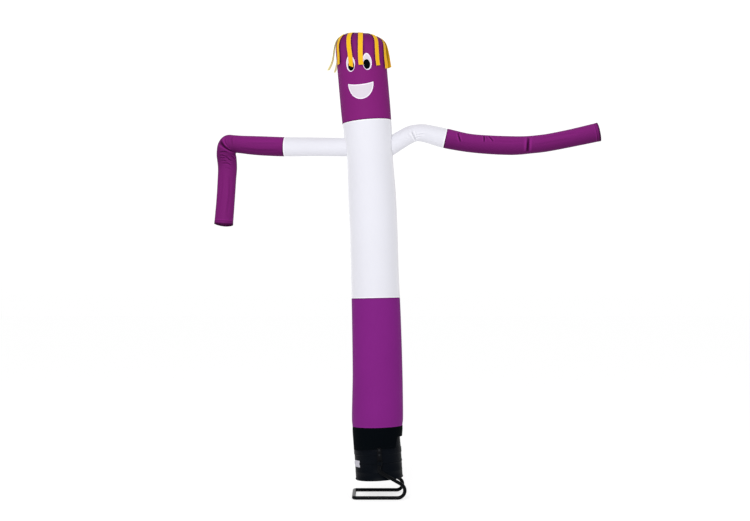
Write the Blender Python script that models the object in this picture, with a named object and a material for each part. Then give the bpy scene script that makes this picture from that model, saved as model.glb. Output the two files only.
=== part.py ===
"""Inflatable air dancer on its drum blower.

A cloth figure is inflated by a drum blower on a bent tube stand.  The figure is a leaning
tube of four panels (skirt, legs, torso, head) with two tube arms whose ends are open.  Every
panel is a hollow sheet, so air passes from the blower through the figure and out of the arms.

Metres, +Z up, floor at Z = 0, the face looks along -Y.  Left and right are the viewer's.
Azimuths are in degrees round an upright axis: 0 is the front (-Y), 90 is the right (+X).
"""

import math
from collections import namedtuple

import bmesh
import bpy
from mathutils import Matrix, Vector

# ---------------------------------------------------------------- driving dimensions
GAP = 0.0003                # between pieces that meet
CLOTH = 0.002               # thickness of the inflated cloth
HEM = 0.003                 # thickness of a turned hem
HEM_WIDTH = 0.034           # width of the hem at a sleeve's open end
BLOWER_X = -0.2586          # the blower's axis, from the middle of the whole width

BODY_SIDES = 32             # facets round the body tube
ARM_SIDES = 20              # facets round an arm
DRUM_SIDES = 40             # facets round the blower

# Heights of the seams round the body, above the floor
SKIRT_SEAM = 0.653
WAIST_SEAM = 1.847
NECK_SEAM = 3.502

# The body tube: offset is its middle's distance from the blower's axis, lean is in degrees
Section = namedtuple("Section", "height offset radius lean")
BODY = (
    Section(SKIRT_SEAM, -0.0160, 0.2350, 1.6),
    Section(0.720, -0.0160, 0.2400, 0.8),
    Section(0.880, -0.0155, 0.2385, 0.2),
    Section(1.125, -0.0155, 0.2345, 0.4),
    Section(1.575, -0.0240, 0.2305, 1.0),
    Section(WAIST_SEAM, -0.0320, 0.2275, 1.2),
    Section(2.025, -0.0400, 0.2255, 1.5),
    Section(2.477, -0.0520, 0.2245, 2.1),
    Section(2.816, -0.0680, 0.2250, 2.8),
    Section(3.000, -0.0780, 0.2205, 3.2),
    Section(3.156, -0.0870, 0.2170, 3.8),
    Section(3.290, -0.0970, 0.2230, 4.4),
    Section(NECK_SEAM, -0.1165, 0.2325, 5.0),
)

# The head stands on the neck seam and leans as its last section does
HEAD_RADIUS = 0.2350
HEAD_LENGTH = 0.669         # from the neck seam to where the crown begins to round in
CROWN_HEIGHT = 0.172
CROWN_SQUARENESS = 2.5      # 2 is an ellipse, more is a flatter top
CROWN_TILT = 7.5            # degrees, the crown stays level while the head leans
CROWN_RINGS = 8
CROWN_FLAT = 0.032          # radius of the crown's flat middle
CROWN_ARC = 88.0            # degrees of its side view up to there
HEAD_ROWS = (0.23, 0.5, 0.78)   # shares of its length

# The arms: points down the middle of each tube, its radius there, and the share by which a
# fold flattens it from front to back
Station = namedtuple("Station", "x y z radius pinch")
LEFT_ARM = (
    Station(-0.120, -0.008, 3.268, 0.0850, 0.0),
    Station(-0.350, 0.016, 3.271, 0.0850, 0.0),
    Station(-0.630, 0.045, 3.277, 0.0865, 0.0),
    Station(-0.906, 0.074, 3.284, 0.0885, 0.0),
    Station(-1.120, 0.096, 3.296, 0.0862, 0.0),
    Station(-1.230, 0.108, 3.303, 0.0833, 0.0),
    Station(-1.300, 0.114, 3.307, 0.0790, 0.0),
    Station(-1.380, 0.120, 3.309, 0.0765, 0.03),
    Station(-1.422, 0.125, 3.305, 0.0915, 0.12),
    Station(-1.443, 0.127, 3.282, 0.0895, 0.17),
    Station(-1.453, 0.129, 3.242, 0.0870, 0.17),
    Station(-1.454, 0.130, 3.205, 0.0885, 0.05),
    Station(-1.448, 0.128, 3.160, 0.0895, 0.0),
    Station(-1.444, 0.123, 3.085, 0.0885, 0.0),
    Station(-1.448, 0.117, 2.985, 0.0860, 0.0),
    Station(-1.458, 0.103, 2.785, 0.0850, 0.0),
    Station(-1.475, 0.088, 2.539, 0.0870, 0.0),
)
LEFT_SEAM = 3               # the row where the root is sewn to the sleeve
RIGHT_ARM = (
    Station(-0.020, 0.000, 3.186, 0.0810, 0.0),
    Station(0.097, 0.000, 3.269, 0.0820, 0.0),
    Station(0.205, 0.000, 3.339, 0.0815, 0.0),
    Station(0.285, -0.001, 3.384, 0.0800, 0.04),
    Station(0.350, -0.002, 3.402, 0.0775, 0.12),
    Station(0.420, -0.004, 3.400, 0.0815, 0.04),
    Station(0.520, -0.008, 3.377, 0.0870, 0.0),
    Station(0.623, -0.012, 3.350, 0.0910, 0.0),
    Station(0.840, -0.020, 3.306, 0.0850, 0.0),
    Station(1.042, -0.027, 3.287, 0.0860, 0.0),
    Station(1.230, -0.034, 3.279, 0.0865, 0.0),
    Station(1.330, -0.038, 3.280, 0.0840, 0.02),
    Station(1.417, -0.041, 3.286, 0.0810, 0.08),
    Station(1.500, -0.044, 3.294, 0.0810, 0.0),
    Station(1.590, -0.048, 3.306, 0.0805, 0.0),
    Station(1.803, -0.058, 3.347, 0.0815, 0.0),
    Station(2.059, -0.070, 3.403, 0.0860, 0.0),
)
RIGHT_SEAM = 7
ARM_STEP = 0.110            # longest distance between an arm's rings
BEND_STEP = 0.045           # and where it bends
CUFF_DROOP = 0.010          # the left cuff hangs lower at its front and back

# The skirt's hem sits on the blower's ledge and is cut up over one side
SKIRT_FULL = Section(0.612, -0.0160, 0.2350, 1.8)
SKIRT_HEM_RADIUS = 0.2235
SKIRT_ROWS = 5
HEM_LIFT = 0.012            # how far the hem rides up at the front
SLIT_LIFT = 0.106           # and over the slit
SLIT_FROM, SLIT_TO = 50.0, 130.0

# Hair: ribbons sewn on round the crown.  root is the distance of the sewn end from the crown's
# middle, top and tip are azimuths, splay is how far the tip stands off, a low bow stands the
# middle off as well, and twist turns the tip
Ribbon = namedtuple("Ribbon", "top tip root length splay bow twist")
RIBBONS = (
    Ribbon(-30.0, -25.0, 0.104, 0.418, 0.006, 2.5, 0.0),
    Ribbon(7.0, -3.0, 0.104, 0.409, 0.006, 2.5, 0.0),
    Ribbon(43.0, 37.5, 0.104, 0.423, 0.006, 2.5, 0.0),
    Ribbon(82.0, 66.0, 0.165, 0.380, 0.012, 2.0, 15.0),
    Ribbon(99.0, 93.0, 0.104, 0.420, 0.021, 1.2, -48.0),
    Ribbon(130.0, 127.0, 0.104, 0.400, 0.014, 2.5, 10.0),
    Ribbon(164.0, 167.0, 0.104, 0.390, 0.008, 2.5, 0.0),
    Ribbon(-158.0, -155.0, 0.104, 0.400, 0.010, 2.5, 0.0),
    Ribbon(-121.0, -123.0, 0.104, 0.395, 0.078, 3.0, -12.0),
    Ribbon(-93.0, -93.0, 0.104, 0.395, 0.079, 3.2, 24.0),
    Ribbon(-57.0, -62.0, 0.104, 0.370, 0.008, 2.5, 0.0),
)
RIBBON_WIDTH = 0.045
RIBBON_CLOTH = 0.0015
RIBBON_CLEAR = 0.0022       # between a ribbon and the head under it
RIBBON_STEP = 0.027

# The face: patches sewn on the head, azimuths in degrees, heights above the neck seam
FACE_TURN = -7.3
PATCH = 0.001               # thickness of a patch
PATCH_CLEAR = 0.0007        # patches are flat between their points and the head is round
EYE_AZIMUTH = 19.4
EYE_HEIGHT = 0.5335
EYE_SIZE = (0.089, 0.157)
EYE_DROP = 0.06             # how much wider the eye is below its middle
PUPIL_AZIMUTH = 18.3
PUPIL_SIZE = (0.062, 0.092)
PUPIL_SINK = 0.0245
MOUTH_HEIGHT = 0.345
MOUTH_WIDTH = 0.247
MOUTH_DEPTH = 0.154
MOUTH_SAG = 0.018

# The blower: a drum that leans in its stand about its two knobs
DRUM_LEAN = 3.5
PIVOT = Vector((-0.009, 0.0, 0.330))
DRUM_WALL = 0.004
DRUM_RADIUS = 0.2190
LIP_RADIUS = 0.2225         # the lip round the bottom, the bead and the top band
DRUM_BOTTOM = 0.165
LIP_HEIGHT = 0.014
BEAD = (0.318, 0.330)       # the bead where the drum's halves join
BAND = (0.402, 0.446)       # the band round its top, whose upper face is the ledge
NECK_RADII = (0.2185, 0.2140)
NECK_TOP = 0.585
CHAMFER = 0.003

# The stand: one bent tube, from knob to knob
TUBE_RADIUS = 0.0165
TUBE_SIDES = 12
TUBE_FLAT = TUBE_RADIUS * math.cos(math.pi / TUBE_SIDES)    # to the middle of a facet
STAND_DEPTH = 0.2485        # of its two upright planes from the drum's axis
STAND_LEFT = -0.236
TOE = {-1: 0.419, 1: 0.352}  # where each riser's slant would meet the floor, front and back
TOE_BEND = {-1: 0.067, 1: 0.057}
KNEE = Vector((-0.006, 0.0, 0.259))
TUBE_TOP = Vector((0.008, 0.0, 0.348))
CORNER_BEND, KNEE_BEND = 0.034, 0.040

# The bracket between drum and stand, front and back
BRACKET_WIDTH = 0.042
BRACKET_X = 0.014           # its middle and the knob's, to the right of the drum's axis
BRACKET_SHEET = 0.004
BRACKET_FROM, BRACKET_TO = 0.300, 0.470
KNOB_RADIUS, KNOB_HEIGHT = 0.018, 0.014
BOLT_RADIUS, BOLT_HEIGHT = 0.011, 0.007
BOLT_HEIGHTS = (0.404, 0.448)
PAD_SIZE = (0.021, 0.014)
PAD_HEIGHTS = (0.352, 0.388)

PURPLE = (0.200, 0.020, 0.215)
WHITE = (0.790, 0.775, 0.850)
YELLOW = (0.850, 0.520, 0.010)
BLACK = (0.006, 0.006, 0.009)
PLASTIC = (0.012, 0.012, 0.016)
STEEL = (0.010, 0.010, 0.012)


# ---------------------------------------------------------------- helpers
def clear_scene():
    for item in list(bpy.data.objects):
        bpy.data.objects.remove(item, do_unlink=True)


def finish(name, colour, roughness, metallic=0.0):
    """A plain Principled material for one piece."""
    material = bpy.data.materials.new(name)
    material.use_nodes = True
    shader = material.node_tree.nodes["Principled BSDF"]
    shader.inputs["Base Color"].default_value = (*colour, 1.0)
    shader.inputs["Roughness"].default_value = roughness
    shader.inputs["Metallic"].default_value = metallic
    return material


def frame(name, parent=None, location=(0, 0, 0), lean=0.0):
    """An empty that carries pieces; lean tips its top towards -X, in degrees."""
    empty = bpy.data.objects.new(name, None)
    empty.location = location
    empty.rotation_euler = (0.0, math.radians(-lean), 0.0)
    empty.parent = parent
    bpy.context.collection.objects.link(empty)
    return empty


def piece(name, mesh_tool, parent, material, smooth=40.0):
    """Turns a bmesh into an object with its own material."""
    mesh = bpy.data.meshes.new(name)
    bmesh.ops.recalc_face_normals(mesh_tool, faces=mesh_tool.faces)
    mesh_tool.to_mesh(mesh)
    mesh_tool.free()
    mesh.shade_smooth()
    mesh.set_sharp_from_angle(angle=math.radians(smooth))
    mesh.materials.append(material)
    item = bpy.data.objects.new(name, mesh)
    item.parent = parent
    bpy.context.collection.objects.link(item)
    return item


def cutter(name, mesh_tool, parent):
    item = piece(name, mesh_tool, parent, finish(name, BLACK, 1.0))
    item.hide_render = True
    item.display_type = "WIRE"
    return item


def face_out(item, out, polygon):
    """Flips an open sheet whose face looks away from a direction."""
    if item.data.polygons[polygon].normal.dot(out) < 0:
        item.data.flip_normals()


def around(azimuth):
    """The level direction at an azimuth in degrees."""
    turn = math.radians(azimuth)
    return Vector((math.sin(turn), -math.cos(turn), 0.0))


def loft(rings, caps=False, loop=False):
    """Joins rings of points into one surface; a loop also joins the last to the first."""
    shell = bmesh.new()
    rows = [[shell.verts.new(point) for point in ring] for ring in rings]
    pairs = list(zip(rows, rows[1:]))
    if loop:
        pairs.append((rows[-1], rows[0]))
    for low, high in pairs:
        count = len(low)
        for k in range(count):
            after = (k + 1) % count
            shell.faces.new((low[k], low[after], high[after], high[k]))
    if caps:
        shell.faces.new(list(reversed(rows[0])))
        shell.faces.new(rows[-1])
    return shell


def thicken(item, thickness, thinnest=None):
    """Gives a sheet its thickness, inwards; a hem group keeps the full thickness."""
    wall = item.modifiers.new("cloth", "SOLIDIFY")
    wall.thickness = thickness
    wall.offset = -1.0
    wall.use_even_offset = True
    if thinnest is not None:
        wall.vertex_group = "hem"
        wall.thickness_vertex_group = thinnest / thickness
    return wall


def cut(item, tool, operation="DIFFERENCE"):
    step = item.modifiers.new("cut", "BOOLEAN")
    step.object = tool
    step.operation = operation
    step.solver = "EXACT"
    return step


def hermite(before, start, end, after, spans, share):
    """A smooth value between two rows of a table, from the rows on either side of them."""
    span = spans[1]
    out = (end - before) / (spans[0] + span) * span
    back = (after - start) / (span + spans[2]) * span
    s2, s3 = share * share, share * share * share
    return (
        (2 * s3 - 3 * s2 + 1) * start
        + (s3 - 2 * s2 + share) * out
        + (3 * s2 - 2 * s3) * end
        + (s3 - s2) * back
    )


def between(rows, index, share, key):
    """The row of a table a share of the way from one row to the next, on a smooth curve."""
    last = len(rows) - 1
    near = [rows[min(max(index + k, 0), last)] for k in (-1, 0, 1, 2)]
    at = [key(row) for row in near]
    spans = [max((b - a).length, 1e-6) for a, b in zip(at, at[1:])]
    spans[0] = spans[0] if index > 0 else 0.0
    spans[2] = spans[2] if index + 1 < last else 0.0
    values = [hermite(*column, spans, share) for column in zip(*near)]
    return type(rows[0])(*values)


# ---------------------------------------------------------------- the body tube
def section_ring(section, grow=0.0, shift=0.0):
    """A ring of the body tube, across its leaning middle line."""
    middle = Vector((section.offset, 0.0, section.height))
    turn = Matrix.Rotation(math.radians(-section.lean), 3, "Y")
    ring = []
    for k in range(BODY_SIDES):
        spoke = around(360.0 * k / BODY_SIDES) * (section.radius + grow)
        ring.append(middle + turn @ (spoke + Vector((0.0, 0.0, shift))))
    return ring


def body_sections(low, high):
    """The table's sections from one seam to the other, with one more between each two."""
    def place(row):
        return Vector((row.offset, row.height))

    picked = []
    for index, row in enumerate(BODY):
        if low <= row.height <= high:
            picked.append(row)
            if row.height < high and BODY[index + 1].height - row.height > 0.15:
                picked.append(between(BODY, index, 0.5, place))
    return picked


def body_rings(low, high, grow=0.0, overrun=0.0):
    sections = body_sections(low, high)
    rings = [section_ring(section, grow) for section in sections]
    rings[0] = section_ring(sections[0], grow, GAP / 2 - overrun)
    rings[-1] = section_ring(sections[-1], grow, overrun - GAP / 2)
    return rings


def make_panel(name, low, high, colour, parent):
    """One hollow panel of the body, open at both ends."""
    panel = piece(name, loft(body_rings(low, high)), parent, finish(name, colour, 0.55))
    thicken(panel, CLOTH)
    return panel


# ---------------------------------------------------------------- the head
def crown_profile(angle):
    """Radius and height on the head's side view: 0 is where the crown begins, 90 its top."""
    turn = math.radians(angle)
    radius = HEAD_RADIUS * max(math.cos(turn), 0.0) ** (2.0 / CROWN_SQUARENESS)
    height = HEAD_LENGTH + CROWN_HEIGHT * math.sin(turn) ** (2.0 / CROWN_SQUARENESS)
    return radius, height


def crown_rise(height, x):
    """How far the level crown lifts a point above the head's own square section."""
    share = min(max((height - HEAD_LENGTH) / CROWN_HEIGHT, 0.0), 1.0)
    return -math.tan(math.radians(CROWN_TILT * share)) * x


def head_point(radius, height, azimuth):
    point = around(azimuth) * radius
    point.z = height + crown_rise(height, point.x)
    return point


def head_ring(radius, height):
    return [head_point(radius, height, 360.0 * k / BODY_SIDES) for k in range(BODY_SIDES)]


def make_head(parent):
    """The head panel: a tube that rounds in to a flat crown."""
    neck = BODY[-1].radius
    rings = [head_ring(neck, GAP / 2)]
    rings += [head_ring(HEAD_RADIUS, HEAD_LENGTH * share) for share in HEAD_ROWS]
    for k in range(CROWN_RINGS):
        rings.append(head_ring(*crown_profile(CROWN_ARC * (k / CROWN_RINGS) ** 0.8)))
    rings.append(head_ring(CROWN_FLAT, HEAD_LENGTH + CROWN_HEIGHT))
    shell = loft(rings)
    shell.verts.ensure_lookup_table()
    shell.faces.new(shell.verts[-BODY_SIDES:])
    head = piece("head", shell, parent, finish("head", PURPLE, 0.55))
    thicken(head, CLOTH)
    return head


def surface_point(azimuth, height, clear):
    """A point off the straight part of the head's wall."""
    return around(azimuth) * (HEAD_RADIUS + clear) + Vector((0.0, 0.0, height))


def patch(name, columns, clear, colour, parent):
    """A patch of cloth on the head; each column is its azimuth and its lowest and highest point."""
    sheet = bmesh.new()
    rows = []
    for azimuth, low, high in columns:
        bottom = sheet.verts.new(surface_point(azimuth, low, clear))
        top = sheet.verts.new(surface_point(azimuth, high, clear)) if high - low > 1e-4 else bottom
        rows.append((bottom, top))
    for (low, high), (next_low, next_high) in zip(rows, rows[1:]):
        corners = [low, next_low, next_high, high]
        sheet.faces.new(list(dict.fromkeys(corners)))
    item = piece(name, sheet, parent, finish(name, colour, 0.6))
    face_out(item, around(FACE_TURN), 0)
    wall = item.modifiers.new("cloth", "SOLIDIFY")
    wall.thickness = PATCH
    wall.offset = 1.0
    return item


def oval(middle, height, size, drop=0.0, count=14):
    """Columns of an egg-shaped patch, wider below its middle by the share drop."""
    columns = []
    for k in range(count + 1):
        turn = math.pi * k / count
        across = -math.cos(turn) * size[0] / 2
        half = math.sin(turn) * size[1] / 2
        sink = drop * half * math.cos(turn) ** 2
        azimuth = middle + math.degrees(across / HEAD_RADIUS)
        columns.append((azimuth, height - half - sink, height + half - 3 * sink))
    return columns


def half_moon(count=18):
    """Columns of the mouth: a sagging straight edge over half an ellipse."""
    columns = []
    for k in range(count + 1):
        across = -math.cos(math.pi * k / count)
        fall = math.sqrt(max(1.0 - across * across, 0.0))
        azimuth = FACE_TURN + math.degrees(across * MOUTH_WIDTH / 2 / HEAD_RADIUS)
        top = MOUTH_HEIGHT - MOUTH_SAG * (1.0 - across * across)
        columns.append((azimuth, MOUTH_HEIGHT - MOUTH_DEPTH * fall, top))
    return columns


def make_face(parent):
    patch("mouth", half_moon(), PATCH_CLEAR, WHITE, parent)
    for side, sign in (("left", -1), ("right", 1)):
        middle = FACE_TURN + sign * EYE_AZIMUTH
        white = oval(middle, EYE_HEIGHT, EYE_SIZE, EYE_DROP)
        patch(f"eye_{side}", white, PATCH_CLEAR, WHITE, parent)
        middle = FACE_TURN + sign * PUPIL_AZIMUTH
        black = oval(middle, EYE_HEIGHT - PUPIL_SINK, PUPIL_SIZE, count=10)
        patch(f"pupil_{side}", black, PATCH_CLEAR + PATCH + GAP, BLACK, parent)


# ---------------------------------------------------------------- hair
def head_outline(root, step):
    """Points down the head's side view from the ribbons' roots, with the way out from each."""
    fine = []
    for k in range(241):
        radius, height = crown_profile(90.0 - 90.0 * k / 240)
        if radius >= root:
            fine.append(Vector((radius, height)))
    fine.append(Vector((HEAD_RADIUS, HEAD_LENGTH * 0.35)))
    points, run = [fine[0]], 0.0
    for start, end in zip(fine, fine[1:]):
        length = (end - start).length
        while run + length >= step:
            share = (step - run) / length
            start = start + (end - start) * share
            length = (end - start).length
            points.append(start.copy())
            run = 0.0
        run += length
    outline = []
    for k, point in enumerate(points):
        along = points[min(k + 1, len(points) - 1)] - points[max(k - 1, 0)]
        outline.append((point, Vector((-along.y, along.x)).normalized()))
    return outline


def make_ribbon(number, ribbon, parent):
    """One hair ribbon: it lies down the crown, then hangs and stands off towards its tip."""
    outline = head_outline(ribbon.root, RIBBON_STEP)
    count = round(ribbon.length / RIBBON_STEP)
    sheet = bmesh.new()
    rows = []
    for k in range(count + 1):
        share = k / count
        azimuth = ribbon.tip + (ribbon.top - ribbon.tip) * (1.0 - share) ** 2
        out, side = around(azimuth), around(azimuth + 90.0)
        point, away = outline[k]
        off = min(GAP + k * GAP * 3, RIBBON_CLEAR) + ribbon.splay * share ** ribbon.bow
        radius, height = point + away * off
        turn = math.radians(ribbon.twist * share)
        half = (side * math.cos(turn) + out * math.sin(turn)) * RIBBON_WIDTH / 2
        edges = [out * radius + half * sign for sign in (-1, 1)]
        for edge in edges:
            edge.z = height + crown_rise(height, edge.x)
        rows.append([sheet.verts.new(edge) for edge in edges])
    for (left, right), (low_left, low_right) in zip(rows, rows[1:]):
        sheet.faces.new((left, low_left, low_right, right))
    name = f"ribbon_{number:02d}"
    item = piece(name, sheet, parent, finish(name, YELLOW, 0.5))
    face_out(item, around(ribbon.tip), count // 2)
    wall = item.modifiers.new("cloth", "SOLIDIFY")
    wall.thickness = RIBBON_CLOTH
    wall.offset = 1.0


def make_hair(parent):
    for number, ribbon in enumerate(RIBBONS, start=1):
        make_ribbon(number, ribbon, parent)


# ---------------------------------------------------------------- arms
def station_point(station):
    return Vector((station.x, station.y, station.z))


def turning(rows, index):
    """How far a path turns at a row, in degrees."""
    if not 0 < index < len(rows) - 1:
        return 0.0
    before, here, after = (station_point(rows[index + k]) for k in (-1, 0, 1))
    return math.degrees((here - before).angle(after - here))


def arm_stations(rows, seam):
    """The table's stations with more where the arm bends, and where its seam is among them."""
    picked, sewn = [], 0
    for index in range(len(rows) - 1):
        if index == seam:
            sewn = len(picked)
        length = (station_point(rows[index + 1]) - station_point(rows[index])).length
        bends = max(turning(rows, index), turning(rows, index + 1)) > 8.0
        count = max(1, math.ceil(length / (BEND_STEP if bends else ARM_STEP)))
        picked += [between(rows, index, k / count, station_point) for k in range(count)]
    picked.append(rows[-1])
    return picked, sewn


def tube_rings(points, radii, sides, normal, phase=0.0):
    """Rings across a path, each with a radius along a carried normal and one across it."""
    last = len(points) - 1
    rings = []
    for k, (point, (deep, wide)) in enumerate(zip(points, radii)):
        along = (points[min(k + 1, last)] - points[max(k - 1, 0)]).normalized()
        normal = (normal - along * normal.dot(along)).normalized()
        side = along.cross(normal)
        ring = []
        for j in range(sides):
            turn = math.tau * (j + phase) / sides
            spoke = normal * math.cos(turn) * deep + side * math.sin(turn) * wide
            ring.append(point + spoke)
        rings.append(ring)
    return rings


def arm_rings(rows, seam, grow=0.0):
    """All the rings of one arm, from inside the torso to the cuff, in two lists at the seam."""
    stations, sewn = arm_stations(rows, seam)
    points = [station_point(station) for station in stations]
    radii = [
        ((station.radius + grow) * (1.0 - station.pinch), station.radius + grow)
        for station in stations
    ]
    rings = tube_rings(points, radii, ARM_SIDES, Vector((0.0, -1.0, 0.0)))
    return rings[:sewn + 1], rings[sewn:]


def slide(ring, towards, distance):
    """Moves a ring a little way towards the next one."""
    here = sum(ring, Vector()) / len(ring)
    there = sum(towards, Vector()) / len(towards)
    step = (there - here).normalized() * distance
    return [point + step for point in ring]


def make_root(name, rows, seam, envelope, parent):
    """The white upper length of an arm, cut to the torso's wall."""
    rings, _ = arm_rings(rows, seam)
    rings[-1] = slide(rings[-1], rings[-2], GAP / 2)
    root = piece(name, loft(rings), parent, finish(name, WHITE, 0.55))
    thicken(root, CLOTH)
    cut(root, envelope)
    return root


def make_sleeve(name, rows, seam, parent, droop=0.0):
    """The purple length of an arm, with a turned hem round its open end."""
    _, rings = arm_rings(rows, seam)
    rings[0] = slide(rings[0], rings[1], GAP / 2)
    rings.insert(-1, slide(rings[-1], rings[-2], HEM_WIDTH))
    outward = (sum(rings[-1], Vector()) - sum(rings[-2], Vector())).normalized()
    for ring in rings[-2:]:
        for k, point in enumerate(ring):
            wave = math.cos(2 * math.tau * k / ARM_SIDES) * droop / 2
            ring[k] = point + outward * wave
    sleeve = piece(name, loft(rings), parent, finish(name, PURPLE, 0.55))
    hem = sleeve.vertex_groups.new(name="hem")
    total = len(rings) * ARM_SIDES
    hem.add(list(range(total - 2 * ARM_SIDES, total)), 1.0, "ADD")
    thicken(sleeve, HEM, CLOTH)
    return sleeve


def make_arms(torso, parent):
    low, high = WAIST_SEAM, NECK_SEAM
    envelope = cutter("torso_envelope", loft(body_rings(low, high, GAP), caps=True), parent)
    for side, rows, seam, droop in (
        ("left", LEFT_ARM, LEFT_SEAM, CUFF_DROOP),
        ("right", RIGHT_ARM, RIGHT_SEAM, 0.0),
    ):
        make_root(f"arm_root_{side}", rows, seam, envelope, parent)
        make_sleeve(f"sleeve_{side}", rows, seam, parent, droop)
        inside, _ = arm_rings(rows, seam, -CLOTH)
        hole = loft(inside, caps=True)
        cut(torso, cutter(f"armhole_{side}", hole, parent))


# ---------------------------------------------------------------- the skirt
def hem_lift(azimuth):
    """How far the skirt's hem stands above the blower's ledge."""
    if SLIT_FROM <= azimuth <= SLIT_TO:
        return SLIT_LIFT
    forward = max(math.cos(math.radians(azimuth)), 0.0)
    return GAP * 1.5 + HEM_LIFT * forward ** 2


def make_skirt(parent):
    """The black collar between the body and the blower, open at both ends."""
    top = section_ring(BODY[0], 0.0, -GAP / 2)
    full = section_ring(SKIRT_FULL)
    rings = [top, full]
    tipped = Matrix.Rotation(math.radians(-DRUM_LEAN), 3, "Y")
    ledge = BAND[1] - PIVOT.z
    drop = SKIRT_FULL.height - BAND[1]
    for row in range(1, SKIRT_ROWS + 1):
        ring = []
        for k in range(BODY_SIDES):
            azimuth = 360.0 * k / BODY_SIDES
            hem = around(azimuth) * SKIRT_HEM_RADIUS + Vector((0.0, 0.0, ledge))
            reach = 1.0 - hem_lift(azimuth) / drop
            ring.append(full[k].lerp(PIVOT + tipped @ hem, reach * row / SKIRT_ROWS))
        rings.append(ring)
    skirt = piece("skirt", loft(rings), parent, finish("skirt", BLACK, 0.7))
    thicken(skirt, CLOTH)
    return skirt


# ---------------------------------------------------------------- the blower
def lathe(profile, sides):
    """Turns a closed profile of (radius, height) round the upright axis."""
    rings = []
    for radius, height in profile:
        rise = Vector((0.0, 0.0, height))
        rings.append([around(360.0 * k / sides) * radius + rise for k in range(sides)])
    return loft(rings, loop=True)


def drum_profile():
    """Up the outside of the drum and down its inside, heights from the pivot."""
    outer = [
        (LIP_RADIUS - CHAMFER, DRUM_BOTTOM),
        (LIP_RADIUS, DRUM_BOTTOM + CHAMFER),
        (LIP_RADIUS, DRUM_BOTTOM + LIP_HEIGHT),
        (DRUM_RADIUS, DRUM_BOTTOM + LIP_HEIGHT + CHAMFER),
        (DRUM_RADIUS, BEAD[0] - CHAMFER),
        (LIP_RADIUS, BEAD[0]),
        (LIP_RADIUS, BEAD[1]),
        (DRUM_RADIUS, BEAD[1] + CHAMFER),
        (DRUM_RADIUS, BAND[0] - CHAMFER),
        (LIP_RADIUS, BAND[0]),
        (LIP_RADIUS, BAND[1]),
        (NECK_RADII[0], BAND[1]),
        (NECK_RADII[1], NECK_TOP),
    ]
    inner = [
        (NECK_RADII[1] - DRUM_WALL, NECK_TOP),
        (NECK_RADII[0] - DRUM_WALL, BAND[1]),
        (DRUM_RADIUS - DRUM_WALL, BAND[0]),
        (DRUM_RADIUS - DRUM_WALL, DRUM_BOTTOM),
    ]
    return [(radius, height - PIVOT.z) for radius, height in outer + inner]


def make_drum(parent):
    return piece("drum", lathe(drum_profile(), DRUM_SIDES), parent, finish("drum", PLASTIC, 0.45))


def bar(mesh_tool, size, place):
    """Adds a box of a given size to a mesh."""
    matrix = place @ Matrix.Diagonal((*size, 1.0))
    bmesh.ops.create_cube(mesh_tool, size=1.0, matrix=matrix)


def make_bracket(side, sign, parent):
    """A strap that carries the drum on the stand, on two pads against the drum's wall."""
    inner = STAND_DEPTH - TUBE_FLAT - BRACKET_SHEET - GAP
    outer = inner + BRACKET_SHEET
    strap = bmesh.new()
    height = BRACKET_TO - BRACKET_FROM
    middle = (BRACKET_TO + BRACKET_FROM) / 2 - PIVOT.z
    bar(strap, (BRACKET_WIDTH, BRACKET_SHEET, height),
        Matrix.Translation((BRACKET_X, sign * (inner + outer) / 2, middle)))
    item = piece(f"bracket_{side}", strap, parent, finish(f"bracket_{side}", STEEL, 0.4, 0.5))
    seat = DRUM_RADIUS
    for k, at in enumerate(PAD_HEIGHTS):
        pad = bmesh.new()
        depth = inner - seat + BRACKET_SHEET / 2
        bar(pad, (PAD_SIZE[0], depth, PAD_SIZE[1]),
            Matrix.Translation((BRACKET_X, sign * (seat + depth / 2), at - PIVOT.z)))
        cut(item, cutter(f"pad_{side}_{k}", pad, parent), "UNION")
    for k, at in enumerate(BOLT_HEIGHTS):
        bolt = bmesh.new()
        depth = BOLT_HEIGHT + BRACKET_SHEET / 2
        middle = sign * (outer + (BOLT_HEIGHT - BRACKET_SHEET / 2) / 2)
        place = Matrix.Translation((BRACKET_X, middle, at - PIVOT.z))
        bmesh.ops.create_cone(
            bolt, cap_ends=True, segments=12, radius1=BOLT_RADIUS, radius2=BOLT_RADIUS,
            depth=depth, matrix=place @ Matrix.Rotation(math.pi / 2, 4, "X"),
        )
        cut(item, cutter(f"bolt_{side}_{k}", bolt, parent), "UNION")
    return item


# ---------------------------------------------------------------- the stand
def rounded(corners, radii, facets):
    """A path through corners, each rounded by an arc of its radius."""
    path = [corners[0]]
    for before, here, after, radius, count in zip(
        corners, corners[1:], corners[2:], radii, facets
    ):
        back, ahead = (before - here).normalized(), (after - here).normalized()
        half = back.angle(ahead) / 2
        start = here + back * radius / math.tan(half)
        axis = back.cross(ahead).normalized()
        middle = here + (back + ahead).normalized() * radius / math.sin(half)
        sweep = math.pi - 2 * half
        for k in range(count + 1):
            turn = Matrix.Rotation(-sweep * k / count, 3, axis)
            path.append(middle + turn @ (start - middle))
    path.append(corners[-1])
    return path


def stand_path():
    """The tube's middle line: knob, knee and toe at the front, round the floor, and back up."""
    def riser(sign):
        depth = Vector((0.0, sign * STAND_DEPTH, 0.0))
        return [TUBE_TOP + depth, KNEE + depth, Vector((TOE[sign], sign * STAND_DEPTH, TUBE_FLAT))]

    corners = riser(-1)
    corners += [Vector((STAND_LEFT, sign * STAND_DEPTH, TUBE_FLAT)) for sign in (-1, 1)]
    corners += reversed(riser(1))
    bends = (KNEE_BEND, TOE_BEND[-1], CORNER_BEND, CORNER_BEND, TOE_BEND[1], KNEE_BEND)
    return rounded(corners, bends, (4, 10, 6, 6, 10, 4))


def make_stand(parent):
    path = stand_path()
    radii = [(TUBE_RADIUS, TUBE_RADIUS)] * len(path)
    rings = tube_rings(path, radii, TUBE_SIDES, Vector((1.0, 0.0, 0.0)), 0.5)
    return piece("stand", loft(rings, caps=True), parent, finish("stand", STEEL, 0.35, 0.4))


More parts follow.
